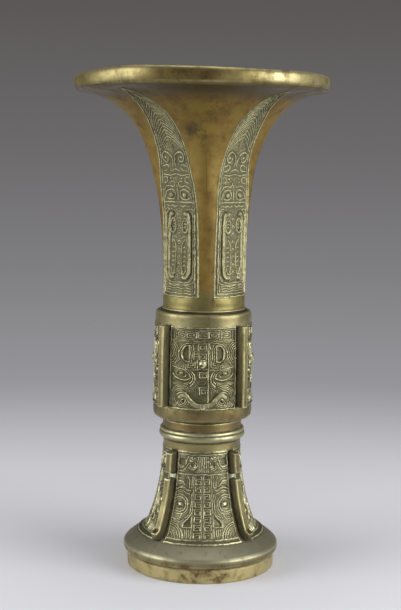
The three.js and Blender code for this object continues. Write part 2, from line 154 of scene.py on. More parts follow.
def table_paint():
    """Painted board that fades out beyond its lit middle, as a sweep of paper out of focus does. The fade
    runs over an oval, in metres from the middle, that is wider from side to side."""
    paint = bpy.data.materials.new("matt_painted_board")
    paint.use_nodes = True
    tree = paint.node_tree
    place = node(tree, "TexCoord", PLAIN, give="Object")
    oval = node(tree, "VectorMath", TIMES, place, (0.45, 1.0, 1.0))
    away = node(tree, "VectorMath", LENGTH, oval)
    shader = tree.nodes["Principled BSDF"]
    shader.inputs["Base Color"].default_value = linear(TABLE)
    shader.inputs["Roughness"].default_value = 0.75
    faded = node(tree, "MapRange", EASED, away, *TABLE_FADE)
    clear = node(tree, "BsdfTransparent", PLAIN)
    board = node(tree, "MixShader", PLAIN, faded, shader.outputs[0], clear)
    tree.links.new(board, tree.nodes["Material Output"].inputs["Surface"])
    return paint


def lamp(name, place, aim, width, height, watts, tint="#ffffff"):
    """A rectangular soft box that faces the aimed point."""
    light = bpy.data.lights.new(name, "AREA")
    light.shape = "RECTANGLE"
    light.size, light.size_y = width * MM, height * MM
    light.energy = watts
    light.color = linear(tint)[:3]
    box = bpy.data.objects.new(name, light)
    reach = Vector(place) - Vector(aim)
    facing = reach.to_track_quat("Z", "Y").to_matrix().to_4x4()
    box.matrix_world = Matrix.Translation(Vector(place) * MM) @ facing
    bpy.context.scene.collection.objects.link(box)


table = bpy.data.objects.new("table", disc_mesh("table", TABLE_RADIUS))
table.data.materials.append(table_paint())
bpy.context.scene.collection.objects.link(table)
table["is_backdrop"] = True

room = bpy.data.worlds.new("grey_room")
room.use_nodes = True
bpy.context.scene.world = room
tree = room.node_tree
direction = node(tree, "TexCoord", PLAIN, give="Generated")
up = node(tree, "SeparateXYZ", PLAIN, direction, give="Z")
lowest, highest = ROOM[0][0], ROOM[-1][0]
seen = node(tree, "ValToRGB", PLAIN, node(tree, "MapRange", PLAIN, up, lowest, highest))
tones = seen.node.color_ramp.elements
while len(tones) < len(ROOM):
    tones.new(0.5)
for tone, (height, hex_code) in zip(tones, ROOM):
    tone.position = (height - lowest) / (highest - lowest)
    tone.color = linear(hex_code)
camera_ray = node(tree, "LightPath", PLAIN, give="Is Camera Ray")
glossy_ray = node(tree, "LightPath", PLAIN, give="Is Glossy Ray")
shown = node(tree, "Math", LARGER, camera_ray, glossy_ray)
backdrop = tree.nodes["Background"]
tree.links.new(node(tree, "Mix", COLOURS, shown, ROOM_LIGHT, seen), backdrop.inputs["Color"])
backdrop.inputs["Strength"].default_value = 1.0

lamp("left_soft_box", (-740, -270, 360), (0, 0, 140), 620, 680, 7.2)
lamp("right_soft_box", (700, -340, 360), (0, 0, 140), 620, 680, 9.4)
lamp("overhead_soft_box", (0, -60, 1150), (0, 0, 0), 700, 700, 5.0)

# %% [markdown]
# ## Drawing in relief
# The ornament is cast thread relief: fine raised lines about a millimetre apart, with broader smooth bands,
# bosses and sunk places between them. It could be a bump map, but a bump has no outline and no shadow of
# its own, so here it is real height on a dense mesh. A panel is drawn as lines in millimetres. The ground
# between them fills itself: its threads are a cosine of the distance to the nearest drawn line, so they run
# round every figure like rings in water, which is how the mould maker laid them too.

# %% Lines and distances
FAR = 1e3


def curve_through(points, steps=8, closed=False):
    """Catmull-Rom curve: each stretch between two points is a cubic whose slope at a point is half the step
    between its two neighbours."""
    p = np.asarray(points, float)
    ends = (p[-1:], p[:2]) if closed else (2 * p[:1] - p[1:2], 2 * p[-1:] - p[-2:-1])
    q = np.vstack([ends[0], p, ends[1]])
    t = np.linspace(0, 1, steps, endpoint=False)[None, :, None]
    a, b, c, d = (q[i : len(q) - 3 + i, None, :] for i in range(4))
    cubic = 2 * b + (c - a) * t + (2 * a - 5 * b + 4 * c - d) * t**2 + (3 * b - a - 3 * c + d) * t**3
    return np.vstack([(cubic / 2).reshape(-1, 2), p[:1] if closed else p[-1:]])


def arc_length(points):
    """The way along a line of points from its first: the running sum of the stretches' lengths."""
    return np.concatenate([[0], np.cumsum(np.hypot(*np.diff(points, axis=0).T))])


def finer(line, step=1.5):
    """The same straight stretches with more points, so that a line follows a curved wall."""
    line = np.asarray(line, float)
    parts = []
    for a, b in zip(line[:-1], line[1:]):
        count = max(1, int(np.ceil(np.hypot(*(b - a)) / step)))
        parts.append(a + (b - a) * np.linspace(0, 1, count, endpoint=False)[:, None])
    return np.vstack(parts + [line[-1:]])


def arc(x, y, radius, start, end, count=20, squash=1.0):
    """Points x + r cos a, y + squash r sin a, from one angle to another in degrees."""
    a = np.radians(np.linspace(start, end, count))
    return np.column_stack([x + radius * np.cos(a), y + squash * radius * np.sin(a)])


def frame_line(x0, y0, x1, y1):
    """The outline of an upright oblong, from its lower left corner round to it again."""
    return [(x0, y0), (x1, y0), (x1, y1), (x0, y1), (x0, y0)]


def mirrored(points):
    """The same points with left and right changed over."""
    return [(-x, y) for x, y in points]


def soft(value, start, end):
    """A smooth step from 0 to 1: 3k2 - 2k3 of the share k of the way from start to end."""
    k = np.clip((value - start) / (end - start), 0, 1)
    return k * k * (3 - 2 * k)


print("a curve through 3 points has", len(curve_through([(0, 0), (1, 1), (2, 0)])), "points")

# %% [markdown]
# A panel keeps three heights over its own grid of points: the bed, which holds plateaus, bosses, grooves and
# pits, the top, which holds the drawn lines, and the ground threads. Wherever a smooth form lies, quiet keeps
# the threads out. `both` draws a figure and its mirror image, since a mask is the same left and right.

# %% The panel
class Panel:
    """Height in mm over coordinates x and y in mm, which waver a little, as a hand-cut mould's lines do.
    flatten turns drawn points into x and y where they differ. plain is 1 on smooth bands and bosses."""

    def __init__(self, x, y, pitch, thread, flatten=None):
        self.x = x + 0.09 * np.sin(0.9 * y + 0.5 * x) + 0.05 * np.sin(2.3 * y - 1.1 * x)
        self.y = y + 0.09 * np.sin(0.8 * x - 0.4 * y + 1) + 0.05 * np.sin(2.1 * x + 1.2 * y)
        self.pitch, self.thread = pitch, thread
        self.flatten = flatten or (lambda points: np.asarray(points, float))
        self.near = np.full(x.shape, FAR)
        self.top = np.full(x.shape, -FAR)
        self.bed = np.zeros(x.shape)
        self.quiet = np.zeros(x.shape)
        self.plain = np.zeros(x.shape)

    def distance(self, line, reach):
        """Least distance to a line: each point is dropped onto each stretch, and the foot of the drop is kept
        between the stretch's ends. Points farther than reach are left out."""
        line = self.flatten(line)
        low, high = line.min(0) - reach, line.max(0) + reach
        within = (self.x > low[0]) & (self.x < high[0]) & (self.y > low[1]) & (self.y < high[1])
        px, py = self.x[within], self.y[within]
        least = np.full(px.shape, FAR**2)
        for (ax, ay), (bx, by) in zip(line[:-1], line[1:]):
            dx, dy = bx - ax, by - ay
            k = np.clip(((px - ax) * dx + (py - ay) * dy) / max(dx * dx + dy * dy, 1e-9), 0, 1)
            least = np.minimum(least, (px - ax - k * dx) ** 2 + (py - ay - k * dy) ** 2)
        found = np.full(self.x.shape, FAR)
        found[within] = np.sqrt(least)
        return found

    def inside(self, outline):
        """Even-odd rule: a level line from an inner point crosses the outline an odd number of times."""
        outline = self.flatten(outline)
        odd = np.zeros(self.x.shape, bool)
        for (ax, ay), (bx, by) in zip(outline, np.roll(outline, -1, 0)):
            if ay != by:
                crossing = (bx - ax) * (self.y - ay) / (by - ay) + ax
                odd ^= ((ay > self.y) != (by > self.y)) & (self.x < crossing)
        return odd

    def line(self, points, width=0.5, lift=0.3, smooth=True, both=False, leads=True):
        """A raised line with a round back: its height falls off as half a cosine over its width."""
        for way in (points, mirrored(points)) if both else (points,):
            way = curve_through(way) if smooth and len(way) > 2 else finer(way)
            d = self.distance(way, 8.0)
            back = lift * (0.5 + 0.5 * np.cos(np.pi * np.clip(d / width, 0, 1)))
            self.top = np.where(d < width, np.maximum(self.top, back), self.top)
            if leads:
                self.near = np.minimum(self.near, d)

    def band(self, points, width, lift, both=False):
        """A broad smooth band, level on top with soft shoulders."""
        for way in (points, mirrored(points)) if both else (points,):
            d = self.distance(curve_through(way), width + 6)
            self.bed += lift * (1 - soft(d, width / 2 - 0.35, width / 2 + 0.25))
            self.quiet = np.maximum(self.quiet, 1 - soft(d, width / 2, width / 2 + 0.35))
            self.plain = np.maximum(self.plain, 1 - soft(d, width / 2 - 0.3, width / 2 + 0.1))
            self.near = np.minimum(self.near, np.maximum(d - width / 2, 0))

    def groove(self, points, width, depth, both=False, smooth=True):
        """A sunk line, depth deep in its middle."""
        for way in (points, mirrored(points)) if both else (points,):
            way = curve_through(way) if smooth and len(way) > 2 else finer(way)
            d = self.distance(way, width + 1)
            self.bed -= depth * (1 - soft(d, 0, width))
            self.quiet = np.maximum(self.quiet, 1 - soft(d, 0.5 * width, width))

    def area(self, points, lift=0.0, both=False, smooth=True, edge=0.4):
        """A plain closed area, lifted or sunk, with a soft edge."""
        for way in (points, mirrored(points)) if both else (points,):
            way = curve_through(way, closed=True) if smooth else np.vstack([way, way[:1]])
            way = finer(way)
            d = self.distance(way, 8.0) * np.where(self.inside(way), -1, 1)
            self.bed += lift * (1 - soft(d, -edge, edge))
            self.quiet = np.maximum(self.quiet, 1 - soft(d, -0.2, 0.3))
            self.near = np.minimum(self.near, np.maximum(d, 0))

    def dome(self, x, y, wide, high=None, lift=1.0, both=False, leads=True, power=1.0):
        """A boss on an oval: lift times (1 - r squared) to a power. It is a pit where lift is negative."""
        for middle in (x, -x) if both else (x,):
            (mx, my), = self.flatten([(middle, y)])
            r = np.hypot((self.x - mx) / wide, (self.y - my) / (high or wide))
            self.bed += lift * np.clip(1 - r * r, 0, 1) ** power
            self.quiet = np.maximum(self.quiet, 1 - soft(r, 0.85, 1.15))
            if lift > 0:
                self.plain = np.maximum(self.plain, 0.5 - 0.5 * soft(r, 0.6, 1.0))
            if leads:
                self.near = np.minimum(self.near, np.maximum(r - 1, 0) * wide)

    def height(self, field, sunk, wear):
        """Ground threads are thread (0.5 + 0.5 cos(2 pi d / pitch)) of the distance d to the nearest drawn
        line. Inside the field the bed is sunk, and worn places lose part of their threads and lines."""
        wave = 0.5 + 0.5 * np.cos(2 * np.pi * self.near / self.pitch)
        ground = (self.bed + self.thread * wear * wave * (1 - self.quiet)) * field
        lines = np.where(self.top > -1, self.bed * field + self.top * (0.5 + 0.5 * wear), -FAR)
        return np.maximum(ground, lines) - sunk * field * (1 - soft(self.top, 0, 0.3))


# %% [markdown]
# ## The mask on the knop
# Seen close, the mask has a pair of D-shaped horns that a flat line joins, slanting eyes with a boss between
# two pits, a small pointed nose, and a moustache that curls into a volute on each side. A column of squares
# and frets runs down the middle, quarter rings are cut off by the flanges, and a key-fret band runs on top.
# u is the distance round the wall from the panel's middle and z the height over the table, both in mm.

# %% Knop panel
KNOP_FIELD = dict(half=20.9, low=101.7, high=150.2)
THREAD_PITCH = 1.05


def knop_panel(u, z):
    """The whole panel: its frame, the key-fret band on top and the mask."""
    p = Panel(u, z, THREAD_PITCH, 0.26)
    for y, wide, lift in ((150.2, 0.6, 0.45), (149.1, 0.5, 0.3), (101.7, 0.8, 0.7), (143.4, 0.45, 0.25),
                          (142.5, 0.45, 0.35)):
        p.line([(-21, y), (21, y)], wide, lift)
    p.line([(20.9, 101.7), (20.9, 150.2)], 0.7, 0.55, both=True)
    for x, way in ((-14.2, 1), (-7, -1), (6.4, 1), (14, -1)):
        fret = [(2.8, 148), (-2.8, 148), (-2.8, 144.6), (2.8, 144.6), (2.8, 146.9), (-1.5, 146.9),
                (-1.5, 145.7), (1.5, 145.7)]
        p.line([(x + way * a, b) for a, b in fret], 0.45, 0.36, smooth=False)
    for x in (-10.6, -18.4, 9.7, 10.7, 18.6):
        p.line([(x, 148.6), (x, 143.8)], 0.45, 0.33)
    p.line(frame_line(-3.3, 144.4, 3.1, 148.2), 0.45, 0.3, smooth=False)
    p.area(frame_line(-2.6, 144.9, 2.4, 147.7)[:4], -0.25, smooth=False, edge=0.2)
    for y in (147, 145.7):
        p.line([(-2.1, y), (1.9, y)], 0.4, 0.3)
    knop_horns(p)
    knop_middle(p)
    knop_eyes(p)
    knop_moustache(p)
    return p


def knop_horns(p):
    """The head's line, a pair of D-shaped horns with their inner lines, quarter rings and pointed ears."""
    half_head = [(0, 141.6), (6, 141.5), (10.6, 140.7), (13.6, 138.4), (14.9, 134.9), (14.4, 131)]
    p.line(mirrored(half_head)[:0:-1] + half_head, 0.5, 0.38)
    p.area([(8.9, 130.9), (10.8, 131.3), (12.2, 133), (12.5, 135), (11.9, 137.2), (10.3, 139), (8.9, 139.4),
            (8.7, 135)], -0.35, both=True)
    p.line([(8.3, 139.9), (10.5, 139.5), (12.3, 137.5), (13, 134.9), (12.4, 132.3), (10.8, 130.6),
            (9, 130.2)], 0.95, 0.95, both=True)
    p.line([(8.2, 130.2), (8, 134), (8.1, 139.7)], 0.5, 0.6, both=True)
    p.line([(7, 130), (6.7, 133), (6.7, 136.6), (7.4, 139.9)], 0.42, 0.3, both=True)
    p.line([(5.8, 131.4), (5.5, 134), (5.5, 136.8), (6.2, 140.2)], 0.42, 0.26, both=True)
    for radius in (7.2, 5.9, 4.6, 3.3):
        p.line(arc(22.2, 134.9, radius, 113, 248, squash=1.05), 0.5, 0.4, both=True)
    p.area([(14.1, 131.2), (11.3, 128.3), (13.8, 126.7), (17.6, 127.6)], -0.12, both=True, smooth=False)
    p.line([(14.1, 131.6), (11, 128.4)], 0.4, 0.26, both=True)
    p.line([(14.1, 131.6), (18.4, 127.4)], 0.4, 0.3, both=True)


def knop_middle(p):
    """The middle column: a ridge, squares, the frets beside the nose, the nose and the frets below it."""
    p.line([(3.3, 141.2), (3.3, 103.6)], 0.42, 0.38)
    p.line([(-3.3, 139.6), (-3.3, 131)], 0.4, 0.14)
    for x, y, wide, high in ((-0.3, 138.8, 2.4, 1.9), (-0.2, 133.2, 2.2, 1.7)):
        p.line(frame_line(x - wide, y - high, x + wide, y + high), 0.4, 0.28, smooth=False)
        p.line(frame_line(x - wide + 1.05, y - high + 0.95, x + wide - 1.05, y + high - 0.95), 0.38, 0.22,
               smooth=False)
        p.dome(x - 0.3, y, 1.0, 0.8, lift=-0.45, leads=False)
    for y in (136.3, 135.5):
        p.line([(-2.6, y), (3, y)], 0.35, 0.24)
    for y in (136.4, 135, 133.5, 132.1):
        p.line([(-5.2, y), (-3.6, y)], 0.4, 0.24)
    p.line([(3.6, 140.6), (4.7, 137.4)], 0.45, 0.4)
    for x in (4.4, 5.5):
        p.line([(x, 136.9), (x, 131)], 0.35, 0.2)
    p.line([(3.3, 131), (3.3, 125.4), (10.3, 125.4), (10.3, 128.4)], 0.45, 0.36, smooth=False, both=True)
    p.line([(4.7, 130.4), (4.7, 126.7), (9, 126.7), (9, 129.6), (6, 129.6), (6, 128.1), (7.6, 128.1)], 0.42,
           0.3, smooth=False, both=True)
    p.dome(-0.1, 128.9, 2.5, 2.9, lift=1.7, power=0.8)
    p.dome(-0.8, 127.9, 0.95, 0.9, lift=-1.1, leads=False)
    p.line([(-2.6, 125.9), (2.6, 125.9)], 0.45, 0.34)
    p.line(frame_line(-1.9, 120.9, 2.5, 124.2), 0.45, 0.3, smooth=False)
    p.dome(0.9, 122.2, 1.1, 0.6, lift=-0.5, leads=False)
    p.line([(-0.9, 123.3), (1.6, 123.3)], 0.4, 0.34)
    p.line([(3, 114.9), (-1.9, 114.9), (-1.9, 110.4)], 0.42, 0.3, smooth=False)
    p.line([(2.6, 113.5), (-0.5, 113.5), (-0.5, 111.2), (1.6, 111.2), (1.6, 112.4)], 0.42, 0.32, smooth=False)


def knop_eyes(p):
    """Slanting eyes, each a raised leaf with a boss between two pits, and the lines that hang from them."""
    p.area([(17.9, 125.9), (14.8, 125.3), (11.4, 124.8), (8.9, 122.9), (8, 120.9), (10, 120.2), (13, 119.9),
            (15.9, 120.9), (17.8, 122.9)], 0.35, both=True)
    p.line([(19.4, 127), (15.2, 126.1), (11.2, 125.2), (8.5, 123.2), (7.3, 120.4)], 0.55, 0.4, both=True)
    p.line([(18.9, 122.6), (16.4, 120.5), (13, 119.3), (9.6, 119.4), (7.3, 120.4)], 0.6, 0.65, both=True)
    p.dome(13.3, 123.3, 1.35, 1.25, lift=1.1, both=True, leads=False)
    p.dome(15.3, 123.1, 0.75, 0.9, lift=-0.6, both=True, leads=False)
    p.dome(11.2, 122.1, 0.85, 0.85, lift=-0.6, both=True, leads=False)
    p.line([(8.6, 124.7), (6.9, 122.9), (6.1, 120.6), (6.5, 118.4), (7.8, 116.9)], 0.42, 0.4, both=True)
    p.line([(7.3, 124.9), (5.5, 122.8), (4.8, 120.4), (5.2, 117.9), (7.6, 115.2)], 0.45, 0.45, both=True)
    p.area([(8.2, 118.3), (12, 118.2), (16.8, 118.9), (19.6, 117.6), (15, 116.9), (10.5, 117.1)], -0.3,
           both=True)


def knop_moustache(p):
    """A smooth moustache under a raised lip line, with rings round the volutes at its ends."""
    p.band([(14.2, 108.6), (12.6, 109.6), (10.9, 109.6), (8.9, 108), (7, 105.6), (4.6, 103.9), (0, 103.1)],
           2.3, 0.3, both=True)
    half_lip = [(0, 104.6), (3.6, 105), (5.9, 106.4), (7.9, 108.7), (9.9, 110.8), (11.8, 111.7), (14, 111.4),
                (15.6, 110.3)]
    p.line(mirrored(half_lip)[:0:-1] + half_lip, 0.8, 1.0)
    for radius in (4.6, 5.6, 6.6, 7.6):
        p.line(arc(13.2, 108.4, radius, -150 + 9 * radius, 150 - 4 * radius, squash=0.98), 0.45, 0.4,
               both=True)
    p.dome(11.7, 106.3, 0.8, 0.75, lift=-0.7, both=True, leads=False)
    for radius in (1.5, 2.6, 3.7):
        p.line(arc(11.9, 106.4, radius, 150 if radius < 2 else 185, 350, squash=0.95), 0.42, 0.45, both=True)


# %% [markdown]
# ## The two registers on the foot
# The foot's main band has two columns of key fret down its middle. Beside them lies half a dragon mask on
# either hand: a brow, a round eye, a hooked jaw and a corner arch. A low register above it has oval eyes with
# two bosses. The wall flares, so a panel is drawn in degrees and mm of height, and flattened onto the wall.

# %% Foot panel
FOOT_WALL = [(46.9, 15), (43.8, 17), (40.9, 19), (38.1, 21), (35.4, 23), (33.9, 25), (32.9, 27), (31.65, 30),
             (29.9, 35), (28.4, 40), (27.2, 45), (26.2, 50), (25.4, 55), (24.75, 60), (24.3, 65), (23.9, 70),
             (23.7, 74.2), (23.8, 79)]
FOOT_FIELD = dict(half=37.4, low=21.2, high=74.1)
FRET_ROW = 4.4


def foot_sheet(points):
    """Turns (degrees, height) into mm on the wall: the arc R a at that height, and the way up the slope."""
    radii, heights = np.array(FOOT_WALL).T
    way = arc_length(np.array(FOOT_WALL))
    a, z = np.asarray(points, float).T
    return np.column_stack([np.radians(a) * np.interp(z, heights, radii), np.interp(z, heights, way)])


def foot_panel(a, z):
    """The whole panel, over angles a in degrees from its middle and heights z in mm."""
    x, y = foot_sheet(np.column_stack([a.ravel(), z.ravel()])).T
    p = Panel(x.reshape(a.shape), y.reshape(a.shape), THREAD_PITCH, 0.26, foot_sheet)
    for y, wide, lift in ((74.1, 0.55, 0.4), (72.6, 0.45, 0.3), (60.7, 0.6, 0.5), (23.3, 0.6, 0.55),
                          (21.4, 0.8, 0.7)):
        p.line([(-37.4, y), (37.4, y)], wide, lift, smooth=False)
    p.line([(37.4, 21.2), (37.2, 40), (37, 59), (37, 74)], 0.6, 0.5, both=True)
    foot_upper_register(p)
    foot_fret(p)
    foot_mask(p)
    return p


def foot_upper_register(p):
    """Sunk oval eyes at the sides, two bosses and a nose of upright lines."""
    p.area(arc(31.5, 68, 5.6, 0, 345, 14, squash=0.34), -0.55, both=True)
    p.line(arc(31.5, 68, 7.0, 150, 390, 14, squash=0.42), 0.5, 0.5, both=True)
    p.line([(22, 70.6), (25.5, 66.8), (29, 64.6), (37, 63.6)], 0.5, 0.45, both=True)
    p.line([(20.5, 67.5), (24, 64.8), (28.5, 62.9), (37, 62.2)], 0.5, 0.45, both=True)
    p.dome(17.3, 68.9, 1.1, 0.95, lift=0.9, both=True)
    p.dome(15.2, 66.3, 1.4, 1.2, lift=-0.3, both=True)
    p.line([(9.5, 65.4), (12.6, 63.8), (16.5, 63.6), (20.4, 64.9)], 0.5, 0.5, both=True)
    p.line([(10.4, 67.5), (11, 65.6), (13.5, 64.7), (16.5, 64.6), (19.2, 65.8)], 0.45, 0.4, both=True)
    p.line([(16, 71.2), (20, 70.6), (22.5, 71.6)], 0.5, 0.5, both=True)
    p.line([(12, 70.6), (14.5, 69.9), (16.5, 70.7)], 0.45, 0.4, both=True)
    for a in (1.6, 4.6, 7.2):
        p.line([(a, 71.3), (a, 62)], 0.4, 0.26, both=True)
    p.line([(4.6, 68.4), (10.2, 68.4)], 0.4, 0.24, both=True)


def foot_fret(p):
    """Upright lines, and two columns of key fret that open towards each other."""
    for a, lift in ((-12.6, 0.3), (-11, 0.16), (-1.6, 0.14), (1, 0.18), (10.4, 0.2), (11.9, 0.38)):
        p.line([(a, 60.4), (a, 23.2)], 0.42, lift, smooth=False)
    for column, side in ((-6.3, 1), (5.7, -1)):
        for row in range(8):
            z = 25.6 + FRET_ROW * row
            key = [(3.4, z + 1.5), (-3.4, z + 1.5), (-3.4, z - 1.5), (3.4, z - 1.5), (3.4, z + 0.35),
                   (-0.3, z + 0.35)]
            p.line([(column + side * a, b) for a, b in key], 0.4, 0.32, smooth=False)
    for a in (-11.8, -3.6, 1.9, 10.9):
        p.dome(a, 41.1, 0.55, lift=-0.4, leads=False)


def foot_mask(p):
    """Brow, round eye with its rings, hooked jaw with a sunk field, and the corner's arches."""
    p.area([(37, 56.3), (31, 56.9), (26.5, 56.4), (22.6, 54.3), (20.5, 52.9), (24, 53.9), (28, 54.5),
            (32.5, 54), (37, 52.9)], 0.45, both=True)
    p.line([(36.5, 51.2), (32.5, 52.3), (28.4, 52.8), (24.4, 52.5), (20.8, 51.5), (17, 51.1)], 0.75, 0.75,
           both=True)
    p.line([(36.5, 49.6), (32, 50.7), (27, 50.9), (22, 49.7), (17.2, 49.2)], 0.45, 0.36, both=True)
    p.line([(14.6, 60), (14.6, 52.9), (18.2, 52.9), (18.2, 57.4), (21.5, 59.2)], 0.45, 0.34, both=True,
           smooth=False)
    p.dome(28, 42.6, 2.6, 2.1, lift=1.25, both=True, power=0.8)
    p.dome(28, 41.2, 1.7, 0.75, lift=-0.9, both=True, leads=False)
    p.line([(36, 45.9), (31.5, 46.9), (27, 46.8), (22.6, 45), (21.3, 42.3), (23.2, 39.7), (28, 38.6),
            (36, 38.8)], 0.55, 0.5, both=True)
    p.line([(36, 47.6), (31, 48.5), (26, 48.2), (20.7, 46), (18.9, 42.4), (20.7, 38.9), (26, 37.2),
            (36, 37.4)], 0.45, 0.36, both=True)
    p.line([(14.2, 49), (14.4, 44), (14.9, 40), (17.5, 36.5), (21, 35)], 0.42, 0.34, both=True)
    p.area([(13, 30.9), (20.9, 30.9), (20, 32.6), (17.4, 34.2), (15.2, 36.4), (14, 35.4), (13.6, 32.6)],
           -0.3, both=True, smooth=False)
    p.line([(12.9, 38.6), (14.7, 36.9), (17.2, 34.9), (20.3, 33.4), (22.6, 31.9), (22.4, 30.2), (20.4, 29.9),
            (13.2, 29.8)], 0.75, 0.8, both=True)
    p.line([(25, 37), (27.5, 34.8), (32, 33.9), (36.5, 34.4)], 0.5, 0.45, both=True)
    for k, radius in enumerate((16.6, 14.2, 11.7, 8.6, 5.6)):
        p.line(arc(37.6, 23.3, radius, 90, 178, 14, squash=0.52 + 0.012 * k), 0.6 - 0.05 * k,
               0.62 - 0.07 * k, both=True)
    for a in (14.8, 17, 19.2):
        p.line([(a, 28.8), (a - 0.3, 24)], 0.38, 0.2, both=True)


# %% [markdown]
# ## The rising blades of the neck
# Four long leaves rise from the neck's base and end in points under the mouth. Each has two standing figures
# below, a small loop over a long one under a boss, then the eyes, brow and scrolls of a mask, and above them
# the leaf's veins. t is the distance across the blade and s the way up its face, both in mm.

# %% Blade panel
BLADE_EDGE = [(0, 13.7), (55, 13.7), (65, 13.5), (72, 12.6), (80, 11.7), (90, 11.1), (98, 10.7), (105, 10.0),
              (112, 8.8), (120, 6.8), (127, 4.5), (133, 2.0), (138, 0.0)]


def blade_half(s):
    """Half width of a blade: straight lines between the points of its edge."""
    return np.interp(s, *np.array(BLADE_EDGE).T)


def blade_edge(inset, low=0.0, high=138.0):
    """Points of the blade's right edge, moved inwards by the inset."""
    s = np.linspace(low, high, 40)
    return list(zip(np.maximum(blade_half(s) - inset, 0), s))


def blade_panel(t, s):
    """The whole blade: a double border, the figures, the mask and the veins of the leaf."""
    p = Panel(t, s, THREAD_PITCH, 0.36)
    p.line(blade_edge(0), 0.7, 0.55, both=True, smooth=False)
    p.line(blade_edge(1.7, 1.7, 126), 0.4, 0.3, both=True, smooth=False)
    p.line([(-13.7, 0), (13.7, 0)], 0.7, 0.55, smooth=False)
    p.line([(-12, 1.8), (12, 1.8)], 0.45, 0.4, smooth=False)
    blade_figures(p)
    blade_mask(p)
    for base in (88, 90.2, 92.3, 94.6, 97, 99.2, 101.6, 104, 106.2, 108.8, 111.3, 114, 117):
        half = blade_half(base) - 2.2
        p.line([(0.5, base + 7.5), (half * 0.4, base + 5.2), (half * 0.8, base + 1.6), (half, base - 1)],
               0.36, 0.2, both=True)
    p.line([(0, 88), (0, 132)], 0.4, 0.2)
    return p


def blade_figures(p):
    """Smooth standing bands in a groove, loops with rungs, a boss, and wavy lines at the foot."""
    p.band([(5.6, 49.4), (7.2, 47.6), (8, 43), (7.9, 37.5), (8, 30), (8.1, 20), (7.6, 14.4), (6, 11.6),
            (3.9, 11.4)], 2.2, 0.75, both=True)
    p.groove([(7, 51), (9.3, 48.5), (9.7, 43), (9.6, 30), (9.8, 20), (9.3, 13.4), (7, 9.7), (3.6, 9.4)], 0.7,
             0.5, both=True)
    p.area(arc(4.7, 42.3, 1.7, 0, 340, 12, squash=1.9), -0.12, both=True)
    p.line(arc(4.7, 42.3, 2.1, 0, 360, 18, squash=1.9), 0.5, 0.5, both=True)
    p.line([(2.7, 39.6), (3.6, 38.2), (4.8, 37.8), (6, 38.3), (6.6, 39.4)], 0.8, 0.9, both=True)
    p.area([(4.6, 32), (5.5, 29), (5.6, 21), (5.3, 16.4), (4.4, 14.6), (3.4, 16.6), (3, 21), (3.1, 28),
            (3.7, 31)], -0.12, both=True)
    p.line([(4.4, 33.4), (2.7, 31.4), (2.2, 27), (2.2, 20), (2.7, 15.8), (4.2, 13.8), (5.6, 14.6),
            (6.2, 17)], 0.5, 0.45, both=True)
    p.line([(2.8, 13.9), (3.8, 13), (5.2, 13.4)], 0.8, 0.9, both=True)
    for y in (40.8, 42.6, 44.4, 18, 20.6, 23.3, 26, 28.7):
        p.line([(3.6, y), (4.4, y + 0.5), (5.2, y)], 0.5, 0.3, both=True, leads=False)
    p.dome(5.1, 48.9, 1.35, 1.5, lift=1.3, both=True, power=0.7)
    p.line([(10.6, 49), (10.6, 30), (10.6, 14), (9.8, 10.2), (7, 8.4), (0, 8.2)], 0.4, 0.4, both=True)
    p.line([(7.4, 51.2), (9.6, 52), (11.5, 50.6), (11.6, 46), (11.6, 12), (10.8, 8.6), (8, 7.2), (0, 7)],
           0.4, 0.4, both=True)
    for y in (3.2, 4.6, 6):
        p.line([(-9.6, y), (-6.4, y + 0.5), (-3.2, y), (0, y + 0.5), (3.2, y), (6.4, y + 0.5), (9.6, y)],
               0.4, 0.3)
    for y in (14, 18.5, 23, 27.5, 32, 36.5, 41, 45.5):
        p.line([(-1.1, y), (0, y + 1.3), (1.1, y)], 0.4, 0.24)


def blade_mask(p):
    """Teeth, eyes with their lids, a nose line, brows and scrolls."""
    p.line([(-10.9, 55.9), (10.9, 55.9)], 0.5, 0.4)
    p.line([(9.4, 53.8), (7.3, 53.2), (5.2, 53.9), (3.1, 53.3), (1, 53.9)], 0.42, 0.36, both=True)
    p.dome(5.2, 60.1, 1.9, 1.6, lift=1.35, both=True, power=0.7)
    p.line([(8.8, 58.2), (6.9, 57.5), (4.3, 57.6), (2.4, 58.8), (2.1, 60.8), (3.3, 62.8), (5.8, 63.3),
            (8.6, 62.2), (9.9, 60.2), (10.6, 58)], 0.5, 0.5, both=True)
    p.line([(0, 57.2), (0, 66)], 0.5, 0.4)
    p.line([(10.6, 62.5), (9, 64.8), (6, 65.6), (3, 65), (1.3, 66.7), (2.6, 68.4), (5, 67.9)], 0.45, 0.42,
           both=True)
    p.dome(4.4, 69.9, 1.0, 0.9, lift=0.8, both=True)
    p.line([(9.9, 67.2), (7.4, 67.9), (7, 70), (8.8, 71), (10.2, 69.9)], 0.42, 0.4, both=True)
    p.line([(-9.8, 72.4), (-5, 71.8), (0, 72.6), (5, 71.8), (9.8, 72.4)], 0.5, 0.42)
    p.line([(1.2, 77.4), (0.7, 80), (1.4, 83), (3.4, 85.4), (6, 86), (8, 84.6), (8.3, 82), (6.8, 80),
            (4.6, 80.3), (4.2, 82.2)], 0.6, 0.6, both=True)
    p.dome(6.2, 82.5, 1.0, 0.9, lift=0.7, both=True, leads=False)
    p.line([(9.5, 74.4), (6.2, 75), (4.8, 77), (6.6, 78.2), (9.3, 77.2)], 0.45, 0.42, both=True)
    p.line([(3, 74.6), (0, 75.6), (-3, 74.6)], 0.45, 0.4)


print("blade half width 60 mm up:", round(float(blade_half(60)), 2), "mm")

# %% [markdown]
# ## From grids to closed shells
# Each casting is made in four quarters, as its mould was, and the seams lie under the flanges or down the
# middle of a plain strip. A quarter is a dense outer grid and a sparse inner one. The four gaps between their
# edges are stitched with triangles, which closes the shell. The last column beside a seam is very narrow, so
# that the shading there turns with the surface and the seam doesn't show.

# %% Grid tools
SEAM = 0.02
THREAD_DEPTH = 0.28


